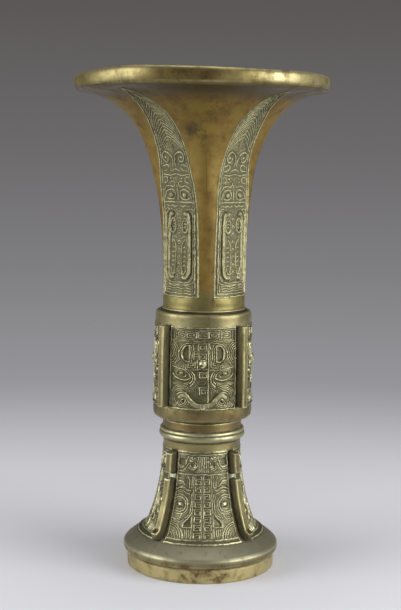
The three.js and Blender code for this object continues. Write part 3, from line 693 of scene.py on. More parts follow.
def rows_along(parts):
    """Rows of a profile. Each part is (points, step): its length is divided evenly, about a step apart."""
    found = []
    for points, step in parts:
        points = np.asarray(points, float)
        way = arc_length(points)
        even = np.linspace(0, way[-1], max(2, int(round(way[-1] / step)) + 1))
        found.append(np.column_stack([np.interp(even, way, column) for column in points.T]))
    joined = np.vstack(found)
    keep = np.concatenate([[True], np.hypot(*np.diff(joined, axis=0).T) > 0.01])
    return joined[keep]


def column_angles(count, radius=30):
    """Even angles over a quarter turn, in degrees, with a column as narrow as SEAM at either end."""
    seam_degrees = np.degrees(SEAM / radius)
    inner = np.linspace(-45 + seam_degrees, 45 - seam_degrees, count - 1)
    return np.concatenate([[-45], inner, [45]])


def turned(radius, angle, height):
    """Points R cos a, R sin a, z of a surface round the vase's axis, the angle in degrees."""
    radius, angle, height = np.broadcast_arrays(radius, np.radians(angle), height)
    return np.stack([radius * np.cos(angle), radius * np.sin(angle), height], axis=-1)


def raised(points, height):
    """Each point moves by its height along the normal, the cross product of the grid's two directions."""
    normal = np.cross(np.gradient(points, axis=1), np.gradient(points, axis=0))
    normal /= np.linalg.norm(normal, axis=2, keepdims=True)
    return points + normal * height[..., None]


def local_mean(field, reach):
    """Mean over a square window, from the difference of running sums, first down the rows, then across."""
    for axis in (0, 1):
        padding = [(reach + 1, reach) if k == axis else (0, 0) for k in (0, 1)]
        sums = np.cumsum(np.pad(field, padding, "edge"), axis=axis)
        after = np.take(sums, np.arange(2 * reach + 1, sums.shape[axis]), axis=axis)
        before = np.take(sums, np.arange(0, sums.shape[axis] - 2 * reach - 1), axis=axis)
        field = (after - before) / (2 * reach + 1)
    return field


def unevenness(points, seed=0.0):
    """A casting filed by hand is never quite true: a sum of slow sines of place, about 0.05 mm high."""
    x, y, z = np.moveaxis(points, -1, 0)
    slow = np.sin(0.11 * x + 0.07 * z + seed) + np.sin(0.13 * y - 0.05 * z + 2 * seed)
    quick = np.sin(0.41 * x + 0.33 * y + 0.21 * z) + np.sin(0.37 * x - 0.45 * y + 0.29 * z + 1.7)
    return 0.018 * slow + 0.008 * quick


def stitch(first, second, turned_over):
    """Triangles between two rows of points. Each edge of the first row meets the nearest point of the second,
    and one triangle more fills in wherever that point changes."""
    n, m = len(first), len(second)
    meets = np.round((np.arange(n - 1) + 0.5) / (n - 1) * (m - 1)).astype(int)
    fans = np.column_stack([first[:-1], first[1:], second[meets]])
    change = np.searchsorted(meets, np.arange(m - 1), side="right")
    fills = np.column_stack([first[change], second[1:], second[:-1]])
    faces = np.vstack([fans, fills])
    return faces[:, ::-1] if turned_over else faces


def grid_faces(index, turned_over=False):
    """One quad for each cell of a grid of point numbers, facing outward when columns run anticlockwise."""
    cells = [index[:-1, :-1], index[:-1, 1:], index[1:, 1:], index[1:, :-1]]
    quads = np.stack(cells, axis=-1).reshape(-1, 4)
    return quads[:, ::-1] if turned_over else quads


def new_piece(name, points, faces, smooth, paint, replaces, marks=None):
    """A mesh object from points in mm, lists of faces and a smooth flag for each face."""
    mesh = bpy.data.meshes.new(name)
    mesh.from_pydata((points * MM).tolist(), [], faces)
    mesh.polygons.foreach_set("use_smooth", smooth)
    for mark, values in (marks or {}).items():
        mesh.attributes.new(mark, "FLOAT", "POINT").data.foreach_set("value", values.astype(np.float32))
    mesh.materials.append(paint)
    mesh.update()
    made = bpy.data.objects.new(name, mesh)
    bpy.context.scene.collection.objects.link(made)
    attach(made, "root")
    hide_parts(replaces)
    return made


def turning(rows, reach=0.9):
    """How a profile turns at each row: the middle of the chord from reach before to reach after lies inside
    an edge (positive, in mm) and outside a hollow (negative)."""
    way = arc_length(rows)
    before = np.column_stack([np.interp(way - reach, way, column) for column in rows.T])
    after = np.column_stack([np.interp(way + reach, way, column) for column in rows.T])
    along = (after - before) / np.linalg.norm(after - before, axis=1, keepdims=True)
    normal = np.column_stack([along[:, 1], -along[:, 0]])
    return np.sum((rows - (before + after) / 2) * normal, axis=1)[:, None]


def shell(name, outer, inner, marks, paint, replaces):
    """Closes a dense outer grid and a sparse inner grid into one body, with flat faces at the seams. marks
    are numbers over the outer grid, which the finish reads. They are 0 on the inner grid."""
    first = np.arange(outer[..., 0].size).reshape(outer.shape[:2])
    second = first.size + np.arange(inner[..., 0].size).reshape(inner.shape[:2])
    seams = np.vstack([
        stitch(first[-1], second[-1], False),
        stitch(first[0], second[0], True),
        stitch(first[:, 0], second[:, 0], False),
        stitch(first[:, -1], second[:, -1], True),
    ])
    quads = np.vstack([grid_faces(first), grid_faces(second, True)])
    smooth = np.concatenate([np.ones(len(quads), bool), np.zeros(len(seams), bool)])
    blank = np.zeros(second.size)
    marks = {mark: np.concatenate([np.broadcast_to(values, first.shape).ravel(), blank])
             for mark, values in marks.items()}
    points = np.vstack([outer.reshape(-1, 3), inner.reshape(-1, 3)])
    faces = quads.tolist() + seams.tolist()
    return new_piece(name, points, faces, smooth, paint, replaces, marks)


def in_field(across, up, half, low, high):
    """1 inside the frame of a panel and 0 outside it, over a soft edge a quarter of a mm to either side."""
    beside = soft(np.abs(across), half - 0.25, half + 0.25)
    return (1 - beside) * soft(up, low - 0.25, low + 0.25) * (1 - soft(up, high - 0.25, high + 0.25))


def wear(x, y, seed):
    """Share of the ground threads that is left: rubbed places lose up to half of them."""
    rubbed = np.sin(0.31 * x + 1.3 * seed) + np.sin(0.27 * y + 0.13 * x + seed)
    rubbed += np.sin(0.11 * y - 0.17 * x + 2.1 * seed)
    return 0.85 + 0.1 * rubbed


def standing(height, reach):
    """How far a point stands above its neighbourhood: +1 on a crest and -1 in a groove of full depth."""
    return np.clip((height - local_mean(height, reach)) / THREAD_DEPTH, -1, 1)


print("stitching 9 points to 3 takes", len(stitch(np.arange(9), np.arange(3), False)), "triangles")

# %% [markdown]
# ## Bronze
# Old bronze is a copper alloy with a thin brown skin. Where hands and cloths rub it the skin stays thin,
# and olive-gold metal shows. In the sunk ground a grey-green patina and dirt collect, dull and hardly
# metallic. So one recipe serves every piece: a skin of mottled olive and brown, a patina that the marks on
# the mesh call up, and fine pits from the casting. The marks could be painted by hand, but the mesh itself
# knows its edges and hollows: `proud` is +1 on crests and -1 in grooves, `field` is 1 inside an ornament,
# `rub` is 1 on edges that cloths reach, and the mark for dirt and shade is 1 in corners that they don't.
# There the colour is dark for dirt and also as painted shade, where shade falls in corners and creases.
# Each noise below is set by the size of its blotches in mm. The place is in metres, so the noise's scale
# is 1000 over that size.

# %% The recipe for bronze
RUBBED = "#b3ab80"
# The dark colour of dirt and of painted shade in corners and creases.
GRIME_AND_SHADE = "#2b2719"
PIT = "#2b2415"
CLOUD_MM = 32.0
MOTTLE_MM = 9.0
PATCH_MM = 3.5
SPECK_MM = 2.2
DOT_MM = 1.7
WORN_MM = 1.3
GRAIN_MM = 0.7


def skin_colour(tree, mottle, pitted, rub, skin, stain, pits):
    """The bare skin: stains in its darkest mottles, dark pits, and pale metal where rub is 1."""
    stained = node(tree, "MapRange", EASED, mottle, 0.56, 0.74, 0.0, 0.8)
    skin = node(tree, "Mix", COLOURS, stained, skin, stain)
    skin = node(tree, "Mix", COLOURS, node(tree, "Math", TIMES, pitted, pits), skin, PIT)
    bright = node(tree, "MapRange", EASED, mottle, 0.68, 0.4, 0.25, 0.9)
    return node(tree, "Mix", COLOURS, node(tree, "Math", TIMES, rub, bright), skin, RUBBED)


def relief_colour(tree, mottle, deep, high, worn, colours):
    """The ornament: a patina that lets some skin through, dirt in the grooves, pale crests, and dark wear."""
    thick, ground, dirt, crest = colours
    thin_patina = node(tree, "MapRange", EASED, mottle, 0.45, 0.75, 0.0, 0.4)
    relief = node(tree, "Mix", COLOURS, thin_patina, ground, thick)
    relief = node(tree, "Mix", COLOURS, deep, relief, dirt)
    relief = node(tree, "Mix", COLOURS, high, relief, crest)
    return node(tree, "Mix", COLOURS, node(tree, "MapRange", EASED, worn, 0.5, 0.66, 0.0, 0.55), relief, dirt)


def bronze_bump(tree, grain, pitted, pits, worn, field):
    """Casting grain, pits and the nicks of the relief, about a tenth of a mm deep at most."""
    fine = node(tree, "Math", TIMES, grain, 0.4)
    fine = node(tree, "Math", MINUS, fine, node(tree, "Math", TIMES, pitted, pits))
    nicks = node(tree, "Math", TIMES, node(tree, "Math", TIMES, worn, field), -1.5)
    skin_height = node(tree, "Math", PLUS, fine, nicks)
    bump = node(tree, "Bump", PLAIN).node
    bump.inputs["Strength"].default_value = 0.35
    bump.inputs["Distance"].default_value = 0.08 * MM
    tree.links.new(skin_height, bump.inputs["Height"])
    return bump.outputs["Normal"]


def bronze(name, thin, thick, stain, ground, dirt, crest, gloss, pits, zones=None):
    """Bronze: thin and thick are the skin's two colours, stain the darkest. ground is the patina of the sunk
    ornament, dirt what fills its grooves and crest its rubbed lines. gloss is the skin's roughness, and zones
    changes the skin by place and says where it is dull."""
    paint = bpy.data.materials.new(name)
    paint.use_nodes = True
    tree = paint.node_tree
    shader = tree.nodes["Principled BSDF"]
    place = node(tree, "TexCoord", PLAIN, give="Object")
    proud, field, rub, grime_and_shade = (node(tree, "Attribute", {"attribute_name": mark}, give="Fac")
                                for mark in ("proud", "field", "rub", "grime_and_shade"))
    cloud = node(tree, "TexNoise", PLAIN, place, 1000 / CLOUD_MM, 4.0, 0.55)
    mottle = node(tree, "TexNoise", PLAIN, place, 1000 / MOTTLE_MM, 5.0, 0.65)
    patchy = node(tree, "TexNoise", PLAIN, place, 1000 / PATCH_MM, 4.0, 0.7)
    speck = node(tree, "TexNoise", PLAIN, place, 1000 / SPECK_MM, 3.0, 0.7)
    worn = node(tree, "TexNoise", PLAIN, place, 1000 / WORN_MM, 4.0, 0.75)
    grain = node(tree, "TexNoise", PLAIN, place, 1000 / GRAIN_MM, 2.0, 0.55)
    pitted = node(tree, "MapRange", EASED, speck, 0.66, 0.74)

    skin = node(tree, "Mix", COLOURS, node(tree, "MapRange", EASED, cloud, 0.36, 0.62), thin, thick)
    dusty = 0.0
    if zones:
        skin, dusty = zones(tree, place, skin, mottle)
    skin = skin_colour(tree, mottle, pitted, rub, skin, stain, pits)

    in_groove = node(tree, "MapRange", EASED, proud, 0.1, -0.6)
    on_crest = node(tree, "MapRange", EASED, proud, 0.1, 0.75)
    deep = node(tree, "Math", TIMES, in_groove, node(tree, "MapRange", EASED, patchy, 0.66, 0.42, 0.4, 1.0))
    high = node(tree, "Math", TIMES, on_crest, node(tree, "MapRange", EASED, patchy, 0.36, 0.56, 0.35, 1.0))
    relief = relief_colour(tree, mottle, deep, high, worn, (thick, ground, dirt, crest))

    # Dirt and painted shade: the corners and creases that the mark finds are darkened, as though shade fell
    # there.
    grime_and_shade_share = node(tree, "Math", TIMES, grime_and_shade, node(tree, "MapRange", EASED, patchy, 0.6, 0.4, 0.6, 1.0))
    colour = node(tree, "Mix", COLOURS, grime_and_shade_share, node(tree, "Mix", COLOURS, field, skin, relief), GRIME_AND_SHADE)
    tree.links.new(colour, shader.inputs["Base Color"])

    hollow = node(tree, "Math", LARGER, node(tree, "Math", TIMES, deep, field), grime_and_shade)
    hollow = node(tree, "Math", LARGER, hollow, dusty)
    tree.links.new(node(tree, "MapRange", PLAIN, hollow, 0, 1, 0.8, 0.3), shader.inputs["Metallic"])
    dull = node(tree, "MapRange", EASED, hollow, 0, 1, gloss, 0.7)
    dull = node(tree, "Math", PLUS, dull, node(tree, "MapRange", EASED, mottle, 0.4, 0.8, -0.03, 0.16))
    dull = node(tree, "Math", PLUS, dull, node(tree, "Math", TIMES, pitted, 0.2))
    tree.links.new(dull, shader.inputs["Roughness"])
    tree.links.new(bronze_bump(tree, grain, pitted, pits, worn, field), shader.inputs["Normal"])
    return paint


print("a noise with blotches of", MOTTLE_MM, "mm has a scale of", round(1000 / MOTTLE_MM))

# %% [markdown]
# The castings share the recipe, but not their wear. The neck is brown and the knop olive, and the foot is
# grey with dust above and rubbed yellow below. Each could be a painted picture, but a few soft limits in
# mm, by height or by the distance from a spot, say the same and stay in step with the vase.

# %% Where the skin changes
def height_of(tree, place):
    """Height over the table in mm."""
    return node(tree, "Math", TIMES, node(tree, "SeparateXYZ", PLAIN, place, give="Z"), 1000.0)


def near(tree, place, spot, start, end):
    """1 close to a spot in mm, falling to 0 from the distance start to end."""
    away = node(tree, "VectorMath", DISTANCE, place, [v * MM for v in spot])
    return node(tree, "MapRange", EASED, away, start * MM, end * MM, 1.0, 0.0)


# Stained or rubbed patches on the lip: place and reach in mm, colour, and how much of it shows at most. The
# stain at the front is brown; the pale patches at the sides are rubbed wear and painted highlight together,
# where the soft boxes light the lip.
LIP_STAINS_AND_HIGHLIGHTS = [
    ((-13, -75, 295), 27, "#4b3c1c", 0.9),
    ((-52, -56, 298), 28, RUBBED, 0.2),
    ((42, -63, 298), 20, RUBBED, 0.6),
    ((68, -35, 296), 30, RUBBED, 0.4),
]


def neck_zones(tree, place, skin, mottle):
    """The strips between the blades are a warm dull brown. Under the lip a darker brown is painted shade,
    where the flare's underside faces down. The lip is olive, rubbed pale and with painted highlight in three
    patches at its sides, and stained brown at the front."""
    z = height_of(tree, place)
    strip = node(tree, "MapRange", EASED, z, 166, 176)
    strip = node(tree, "Math", TIMES, strip, node(tree, "MapRange", EASED, z, 284, 290, 1.0, 0.0))
    warm = node(tree, "MapRange", EASED, mottle, 0.35, 0.65)
    warm = node(tree, "Mix", COLOURS, warm, "#735f23", "#654e1b")
    skin = node(tree, "Mix", COLOURS, strip, skin, warm)
    # Painted shade: the flare's underside, from 281 to 287 mm, is a darker brown where it faces down.
    skin = node(tree, "Mix", COLOURS, node(tree, "MapRange", EASED, z, 281, 287), skin, "#51442a")
    dark = node(tree, "MapRange", EASED, mottle, 0.36, 0.56, 0.0, 0.75)
    dark = node(tree, "Math", TIMES, near(tree, place, (-5, -36, 266), 4, 9), dark)
    skin = node(tree, "Mix", COLOURS, dark, skin, "#2e2615")
    skin = lip_colour(tree, place, z, skin, mottle)
    dots = node(tree, "TexNoise", PLAIN, place, 1000 / DOT_MM, 4.0, 0.7)
    dots = node(tree, "MapRange", EASED, dots, 0.58, 0.68)
    dots = node(tree, "Math", TIMES, dots, node(tree, "MapRange", EASED, z, 240, 292, 0.2, 0.75))
    skin = node(tree, "Mix", COLOURS, dots, skin, "#39301a")
    return skin, node(tree, "Math", TIMES, strip, 0.6)


def lip_colour(tree, place, z, skin, mottle):
    """Olive on the lip alone, so that its edge doesn't show inside the mouth, and then the lip's patches: a
    brown stain, and pale wear with painted highlight.
    """
    flat = node(tree, "VectorMath", TIMES, place, (1.0, 1.0, 0.0))
    radius = node(tree, "VectorMath", LENGTH, flat)
    outside = node(tree, "MapRange", EASED, radius, 66 * MM, 71 * MM)
    olive = node(tree, "Mix", COLOURS, node(tree, "MapRange", EASED, mottle, 0.35, 0.6), "#857a4b", "#6b5f36")
    under = node(tree, "Math", TIMES, outside, node(tree, "MapRange", EASED, z, 290.3, 291.2))
    skin = node(tree, "Mix", COLOURS, under, skin, olive)
    lip = node(tree, "Math", TIMES, outside, node(tree, "MapRange", EASED, z, 291.5, 292.5))
    # The front stain, and the pale side patches, which are rubbed wear and painted highlight.
    for spot, reach, tone, most in LIP_STAINS_AND_HIGHLIGHTS:
        patch = node(tree, "MapRange", EASED, mottle, 0.64, 0.44, 0.2, most)
        patch = node(tree, "Math", TIMES, near(tree, place, spot, 0.4 * reach, reach), patch)
        skin = node(tree, "Mix", COLOURS, node(tree, "Math", TIMES, lip, patch), skin, tone)
    return skin


def knop_zones(tree, place, skin, mottle):
    """The band under the masks is a darker brown than the shoulder above them."""
    low = node(tree, "MapRange", EASED, height_of(tree, place), 103, 100)
    brown = node(tree, "MapRange", EASED, mottle, 0.35, 0.65)
    brown = node(tree, "Mix", COLOURS, brown, "#756b47", "#5b4d2d")
    return node(tree, "Mix", COLOURS, low, skin, brown), 0.0


# The foot is turned a little against the knop. The notch parts its long flanges from its short ones.
FOOT_TURN = 2.2
FOOT_NOTCH = (57.0, 60.5)
NOTCH_RADIUS = 27.2
NOTCH_HEIGHT = sum(FOOT_NOTCH) / 2


def foot_zones(tree, place, skin, mottle):
    """Dust and wax grey the sloping skirt and fill the notches between the flanges. The ring below is rubbed
    yellow, with brown stains at the front."""
    z = height_of(tree, place)
    grey = node(tree, "MapRange", EASED, z, 11, 14)
    grey = node(tree, "Math", TIMES, grey, node(tree, "MapRange", EASED, z, 20, 26, 1.0, 0.0))
    skin = node(tree, "Mix", COLOURS, grey, skin, "#7f7c66")
    skin = node(tree, "Mix", COLOURS, node(tree, "MapRange", EASED, z, 86.2, 87.2), skin, "#6d5f3a")
    bead = node(tree, "MapRange", EASED, z, 80, 80.8)
    bead = node(tree, "Math", TIMES, bead, node(tree, "MapRange", EASED, z, 87.2, 86.2))
    skin = node(tree, "Mix", COLOURS, bead, skin, "#878669")
    for number in range(4):
        turn = math.radians(90 * number + 45 + FOOT_TURN)
        notch = (NOTCH_RADIUS * math.cos(turn), NOTCH_RADIUS * math.sin(turn), NOTCH_HEIGHT)
        skin = node(tree, "Mix", COLOURS, near(tree, place, notch, 2.4, 3.4), skin, "#a3a691")
    skin = node(tree, "Mix", COLOURS, node(tree, "MapRange", EASED, z, 9.5, 8.5), skin, "#b3a675")
    stained = node(tree, "MapRange", EASED, mottle, 0.42, 0.6)
    stained = node(tree, "Math", TIMES, stained, node(tree, "MapRange", EASED, z, 14, 11))
    front = node(tree, "MapRange", PLAIN, near(tree, place, (2, -46, 8), 8, 34), 0, 1, 0.3, 0.85)
    skin = node(tree, "Mix", COLOURS, node(tree, "Math", TIMES, stained, front), skin, "#5c421c")
    return skin, node(tree, "Math", TIMES, grey, 0.15)


# %% [markdown]
# Five finishes come from the one recipe: the three castings, the handled flanges and the solder. All are
# metal, so the shader's own IOR is kept, and colour and roughness tell them apart. The skin's roughness runs
# from 0.36 on the handled flanges to 0.6 on the tarnished solder, and it rises to about 0.7 where dirt lies.

# %% The five finishes
# The knop's cast bronze, filed and waxed: an olive skin whose soft wide highlights show that it is metal.
cast_bronze = bronze("patinated_cast_bronze", thin="#918b64", thick="#736b49", stain="#453c26",
                     ground="#555339", dirt="#353326", crest="#bab58e", gloss=0.42, pits=0.7,
                     zones=knop_zones)
# The neck's, with a thicker brown skin, which dulls the strips between the blades.
neck_bronze = bronze("brown_cast_bronze", thin="#7e7749", thick="#70673e", stain="#4c3a1c", ground="#555339",
                     dirt="#302e20", crest="#b3ae84", gloss=0.45, pits=0.8, zones=neck_zones)
# The foot's, greyed by dust where it slopes and yellow where the ring is rubbed.
foot_bronze = bronze("greyed_cast_bronze", thin="#8d8258", thick="#716845", stain="#4a4129",
                     ground="#5e5c44", dirt="#3a382c", crest="#bbb791", gloss=0.42, pits=0.7,
                     zones=foot_zones)
# The flanges stand proud and are handled most, so their skin is smoother and their edges are pale.
handled_bronze = bronze("handled_bronze", thin="#736c49", thick="#5b5438", stain="#43391f", ground="#64644c",
                        dirt="#36352a", crest="#a5a17c", gloss=0.36, pits=0.5)
# Tin solder with a dull grey-brown tarnish, which shows as a dark line.
solder = bronze("tarnished_solder", thin="#5d594a", thick="#45402f", stain="#2a261b", ground="#45402f",
                dirt="#302d22", crest="#6d6854", gloss=0.6, pits=0.8)
print("finishes:", [paint.name for paint in (cast_bronze, neck_bronze, foot_bronze, handled_bronze, solder)])

# %% [markdown]
# ## The neck
# The neck looks like a plain trumpet, but light gives it away: in its middle it is a square with rounded
# corners. The blades lie on the flat sides, which stay near the axis, while the corners flare out to the lip.
# A revolved profile would lose that, so the section is a superellipse, x to the power n plus t to the power n
# equal to a to the power n, whose flats lie at a share of the corner's radius that changes with the height.

# %% Neck surface
NECK_TURN = 3.0
LIP_RADIUS = 76.2
BLADE_FOOT = 168.0
NECK_FLATS = [(159, 1.0), (163, 0.985), (168, 0.962), (182, 0.925), (206, 0.87), (217, 0.845), (231, 0.818),
              (245, 0.803), (254, 0.815), (265, 0.858), (280, 0.922), (287, 0.965), (290.6, 1.0), (301, 1.0)]
UNDERSIDE_EDGE = [(71.4, 288.7), (73.0, 289.2), (74.3, 290.0), (75.1, 291.0)]
LIP_PROFILE = [(75.1, 291.0), (75.5, 291.7), (75.9, 293.2), (76.15, 295), (76.2, 296.4), (75.95, 297.8),
               (75.3, 298.9), (74.3, 299.5), (73.2, 299.65), (72.5, 299.5)]
# How far the rim's lower and upper edges rise, in mm, by the angle from the front in degrees.
RIM_EDGE = [(-180, 0), (-120, -0.4), (-90, -0.7), (-60, -0.6), (-51, -0.4), (-44, 0.5), (-37, 1.1),
            (-27, 1.0), (0, 0.1), (30, -0.1), (45, -0.5), (67, -0.9), (90, -1.2), (130, -0.5), (180, 0)]
RIM_TOP = [(-180, -0.1), (-120, -1.2), (-90, -1.6), (-62, -0.9), (-44, 0.3), (-30, 0.9), (0, 0), (30, -1.1),
           (47, -1.1), (65, -1.5), (90, -1.7), (130, -0.9), (180, -0.1)]
NECK_LEAN = 1.4
MOUTH_SHIFT = 1.5
MOUTH_TILT = 0.0075


def cubic(start, pull_start, pull_end, end, count=400):
    """Bezier curve: (1-t)^3 A + 3(1-t)^2 t B + 3(1-t) t^2 C + t^3 D."""
    t = np.linspace(0, 1, count)[:, None]
    a, b, c, d = (np.asarray(p, float) for p in (start, pull_start, pull_end, end))
    return (1 - t) ** 3 * a + 3 * (1 - t) ** 2 * t * b + 3 * (1 - t) * t**2 * c + t**3 * d


flare = cubic((24.8, 162), (24.9, 231.9), (29.7, 282.1), (71.4, 288.7))
neck_crest = np.vstack([flare, curve_through(UNDERSIDE_EDGE)[1:]])


def out_of_true(points):
    """The neck isn't quite true: it leans to one side, the mouth more so, and the rim's two edges rise and
    fall by the tables above, which are read by the angle from the front, arctan(x / -y)."""
    x, y, z = np.moveaxis(points, -1, 0)
    turn = np.degrees(np.arctan2(x, -y))
    edge, top = (np.interp(turn, *curve_through(table, 12).T) for table in (RIM_EDGE, RIM_TOP))
    rise = soft(z, 284, 291) * (edge + (top - edge) * np.clip((z - 291) / 8.5, 0, 1) + MOUTH_TILT * x)
    leaning = x - NECK_LEAN * soft(z, 213, 247) - MOUTH_SHIFT * soft(z, 270, 290)
    return np.stack([leaning, y, z + rise], axis=-1)


def flatness(z):
    """Distance of the flats over the corner's radius, by a smooth curve through the measured heights."""
    return np.interp(z, *curve_through(NECK_FLATS).T)


def way_up(rows):
    """Arc length along a profile, counted from the foot of the blades."""
    way = arc_length(rows)
    return way - np.interp(BLADE_FOOT, rows[:, 1], way)


def section_power(flat):
    """The superellipse's n for which its corner lies 1 / flat times as far out as its sides."""
    return 1 / (0.5 + np.log2(np.clip(flat, 0.72, 1.0)))


def neck_radius(corner, z, angle):
    """Radius of the section at an angle in degrees from the blade's middle: a / (|cos|^n + |sin|^n)^(1/n)."""
    flat = flatness(z)
    n = section_power(flat)
    c, s = np.abs(np.cos(np.radians(angle))), np.abs(np.sin(np.radians(angle)))
    return corner * flat / (c**n + s**n) ** (1 / n)


def neck_angles(corner, z, half, blade_columns, strip_columns):
    """Angles of a row's points: even steps across the blade, then even angles over the strip to the seam."""
    flat = flatness(z)
    n = section_power(flat)
    t = half * np.linspace(-1, 1, blade_columns)[None, :]
    x = ((corner * flat) ** n - np.abs(t) ** n) ** (1 / n)
    middle = np.degrees(np.arctan2(t, x))
    k = np.linspace(0, 1, strip_columns + 1)[None, 1:]
    seam = np.degrees(SEAM / corner)
    right = middle[:, -1:] + (45 - seam - middle[:, -1:]) * k
    edge = np.full(corner.shape, 45.0)
    return np.hstack([-edge, -right[:, ::-1], middle, right, edge])


neck_rows = rows_along([
    ([(24.0, 159.05), (25.3, 159.05)], 0.6),
    (curve_through([(25.3, 159.05), (25.5, 159.3), (25.4, 159.7), (25.1, 160.1), (24.9, 160.7),
                    (24.8, 162)]), 0.25),
    (neck_crest[neck_crest[:, 1] > 162], 0.29),
    (curve_through(LIP_PROFILE), 0.45),
])
neck_inside = cubic((22.8, 159.6), (22.9, 262), (39.2, 283), (72.2, 299.3), 40)
print("the neck's profile has", len(neck_rows), "rows")

# %% [markdown]
# All four quarters share one grid and one drawing. Its columns follow the blade's edge, which keeps that edge
# crisp, and spread evenly over the strip beside it. Only the wear and the slow unevenness differ.

# %% Neck grid and drawing
BLADE_SUNK = 0.35
# The share of a crest's paleness that the smooth bands get.
BLADE_BANDS_PALE = 0.35
BLADE_COLUMNS = 117
STRIP_COLUMNS = 11
LEDGE = 0.35

neck_corner, neck_z = neck_rows[:, :1], neck_rows[:, 1:]
neck_way = way_up(neck_rows)[:, None]
# The last six rows lie on the rim's top, where the height hardly changes, so they are left out here.
lip_way = float(np.interp(LIP_PROFILE[0][1], neck_rows[:-6, 1], neck_way[:-6, 0]))
grid_half = np.maximum(blade_half(neck_way) + 1.3, 3.0)
grid_half = grid_half + (0.5 * LIP_RADIUS - grid_half) * soft(neck_way, 132, lip_way)
neck_angle = neck_angles(neck_corner, neck_z, grid_half, BLADE_COLUMNS, STRIP_COLUMNS)
neck_wall = neck_radius(neck_corner, neck_z, neck_angle)
blade_t = neck_wall * np.sin(np.radians(neck_angle))
blade_s = np.broadcast_to(neck_way, blade_t.shape)
neck_drawing = blade_panel(blade_t, blade_s)
print("points on a quarter of the neck:", blade_t.size)


# %% Neck quarters
def neck_quarter(number):
    """One quarter of the neck, its blade in the middle. A low ledge lies under the blade."""
    past_edge = np.abs(blade_t) - blade_half(blade_s)
    field = (1 - soft(past_edge, -0.5, 0.1)) * soft(blade_s, -0.2, 0.4) * (1 - soft(blade_s, 137, 138))
    tint = (1 - soft(past_edge, 0.25, 0.6)) * soft(blade_s, -0.7, -0.3) * (1 - soft(blade_s, 138, 139))
    height = neck_drawing.height(field, BLADE_SUNK, wear(blade_t, blade_s, number))
    ledge = soft(neck_z, 167.7, 166.8) * soft(neck_z, 161, 165) * soft(np.abs(blade_t), 15.5, 13.5)
    height = height + LEDGE * ledge
    middle = 90 * number + 45 + NECK_TURN
    outer = turned(neck_wall, neck_angle + middle, neck_z)
    outer = out_of_true(raised(outer, height + unevenness(outer)))
    corner, z = neck_inside[:, :1], neck_inside[:, 1:]
    angle = column_angles(26, 40)[None, :]
    inner = out_of_true(turned(neck_radius(corner, z, angle), angle + middle, z))
    turn = turning(neck_rows)
    on_border = soft(np.abs(past_edge), 0.7, 0.1) * soft(blade_s, -0.8, 0) * soft(blade_s, 138, 130)
    marks = {
        "proud": np.maximum(standing(height, 4), BLADE_BANDS_PALE * neck_drawing.plain) * tint,
        "field": tint,
        "rub": np.maximum(soft(turn, 0.05, 0.3), on_border),
        # Dirt and painted shade in the hollows of the profile near the neck's base.
        "grime_and_shade": soft(-turn, 0.08, 0.4) * soft(neck_z, 170, 160),
    }
    return shell(f"neck_quarter_{number + 1}", outer, inner, marks, neck_bronze, "trumpet_neck")


neck = [neck_quarter(number) for number in range(4)]
print("one quarter of the neck has", len(neck[0].data.polygons), "faces")

# %% [markdown]
# ## The knop
# A slightly bulging barrel with a rounded shoulder above and a plain rounded band below. The masks sit
# between the flanges, a little sunk, so that the frame lines stand level with the plain bands. A cylinder
# with a displacement modifier would do, but then the rows are as fine on the plain bands as on the mask.
# Here each stretch of the profile has its own step.

# %% Knop quarters
KNOP_RADIUS = 30
KNOP_INNER = 26.8
MASK_SUNK = 0.25
MASK_BANDS_PALE = 0.45
# Stretches of the profile as (points, step), both in mm.
KNOP_ROWS = [
    ([(23.6, 92.45), (25.3, 92.45)], 0.8),
    (curve_through([(25.3, 92.45), (27.3, 92.6), (29, 93.4), (29.9, 94.9), (30.15, 97.5), (30.1, 100.3),
                    (29.95, 101.1)]), 0.4),
    (curve_through([(29.95, 101.1), (29.95, 112), (29.95, 124), (29.75, 136), (29.5, 147), (29.35, 150.8)]),
     0.2),
    (curve_through([(29.35, 150.8), (29.3, 153.6), (29.3, 155.6), (29.1, 156.9), (28.5, 157.8),
                    (27.6, 158.15), (27, 158.15)]), 0.3),
    ([(27, 158.15), (24.4, 158.15)], 0.8),
]


knop_rows = rows_along(KNOP_ROWS)
knop_angle = column_angles(231)[None, :]
knop_u, knop_z = np.broadcast_arrays(KNOP_RADIUS * np.radians(knop_angle), knop_rows[:, 1:])
knop_drawing = knop_panel(knop_u, knop_z)


def knop_quarter(number):
    """One quarter of the knop, with its mask in the middle."""
    u, z = knop_u, knop_z
    field = in_field(u, z, **KNOP_FIELD)
    tint = in_field(u, z, 21.3, 101.2, 150.7)
    height = knop_drawing.height(field, MASK_SUNK, wear(u, z, number + 5))
    middle = 90 * number
    outer = turned(knop_rows[:, :1], knop_angle + middle, z)
    outer = raised(outer, height + unevenness(outer, 3.0))
    inner_z = np.linspace(92.9, 157.7, 12)[:, None]
    inner = turned(KNOP_INNER, column_angles(20)[None, :] + middle, inner_z)
    turn = turning(knop_rows)
    on_frame = soft(np.abs(np.abs(u) - KNOP_FIELD["half"]), 0.5, 0.1) * in_field(u, z, 25, 101, 151)
    # Dirt and painted shade in the channel beside each flange, where the flange shades the panel.
    grime_and_shade_by_flange = in_field(u, z, 22.5, 101.4, 151.4) * soft(np.abs(u), 21.1, 21.5)
    marks = {
        "proud": np.maximum(standing(height, 5), MASK_BANDS_PALE * knop_drawing.plain) * tint,
        "field": tint,
        "rub": np.maximum(soft(turn, 0.05, 0.3), on_frame),
        "grime_and_shade": np.maximum(soft(-turn, 0.08, 0.4), grime_and_shade_by_flange),
    }
    return shell(f"knop_quarter_{number + 1}", outer, inner, marks, cast_bronze, "knop")


knop = [knop_quarter(number) for number in range(4)]
print("one quarter of the knop has", len(knop[0].data.polygons), "faces")

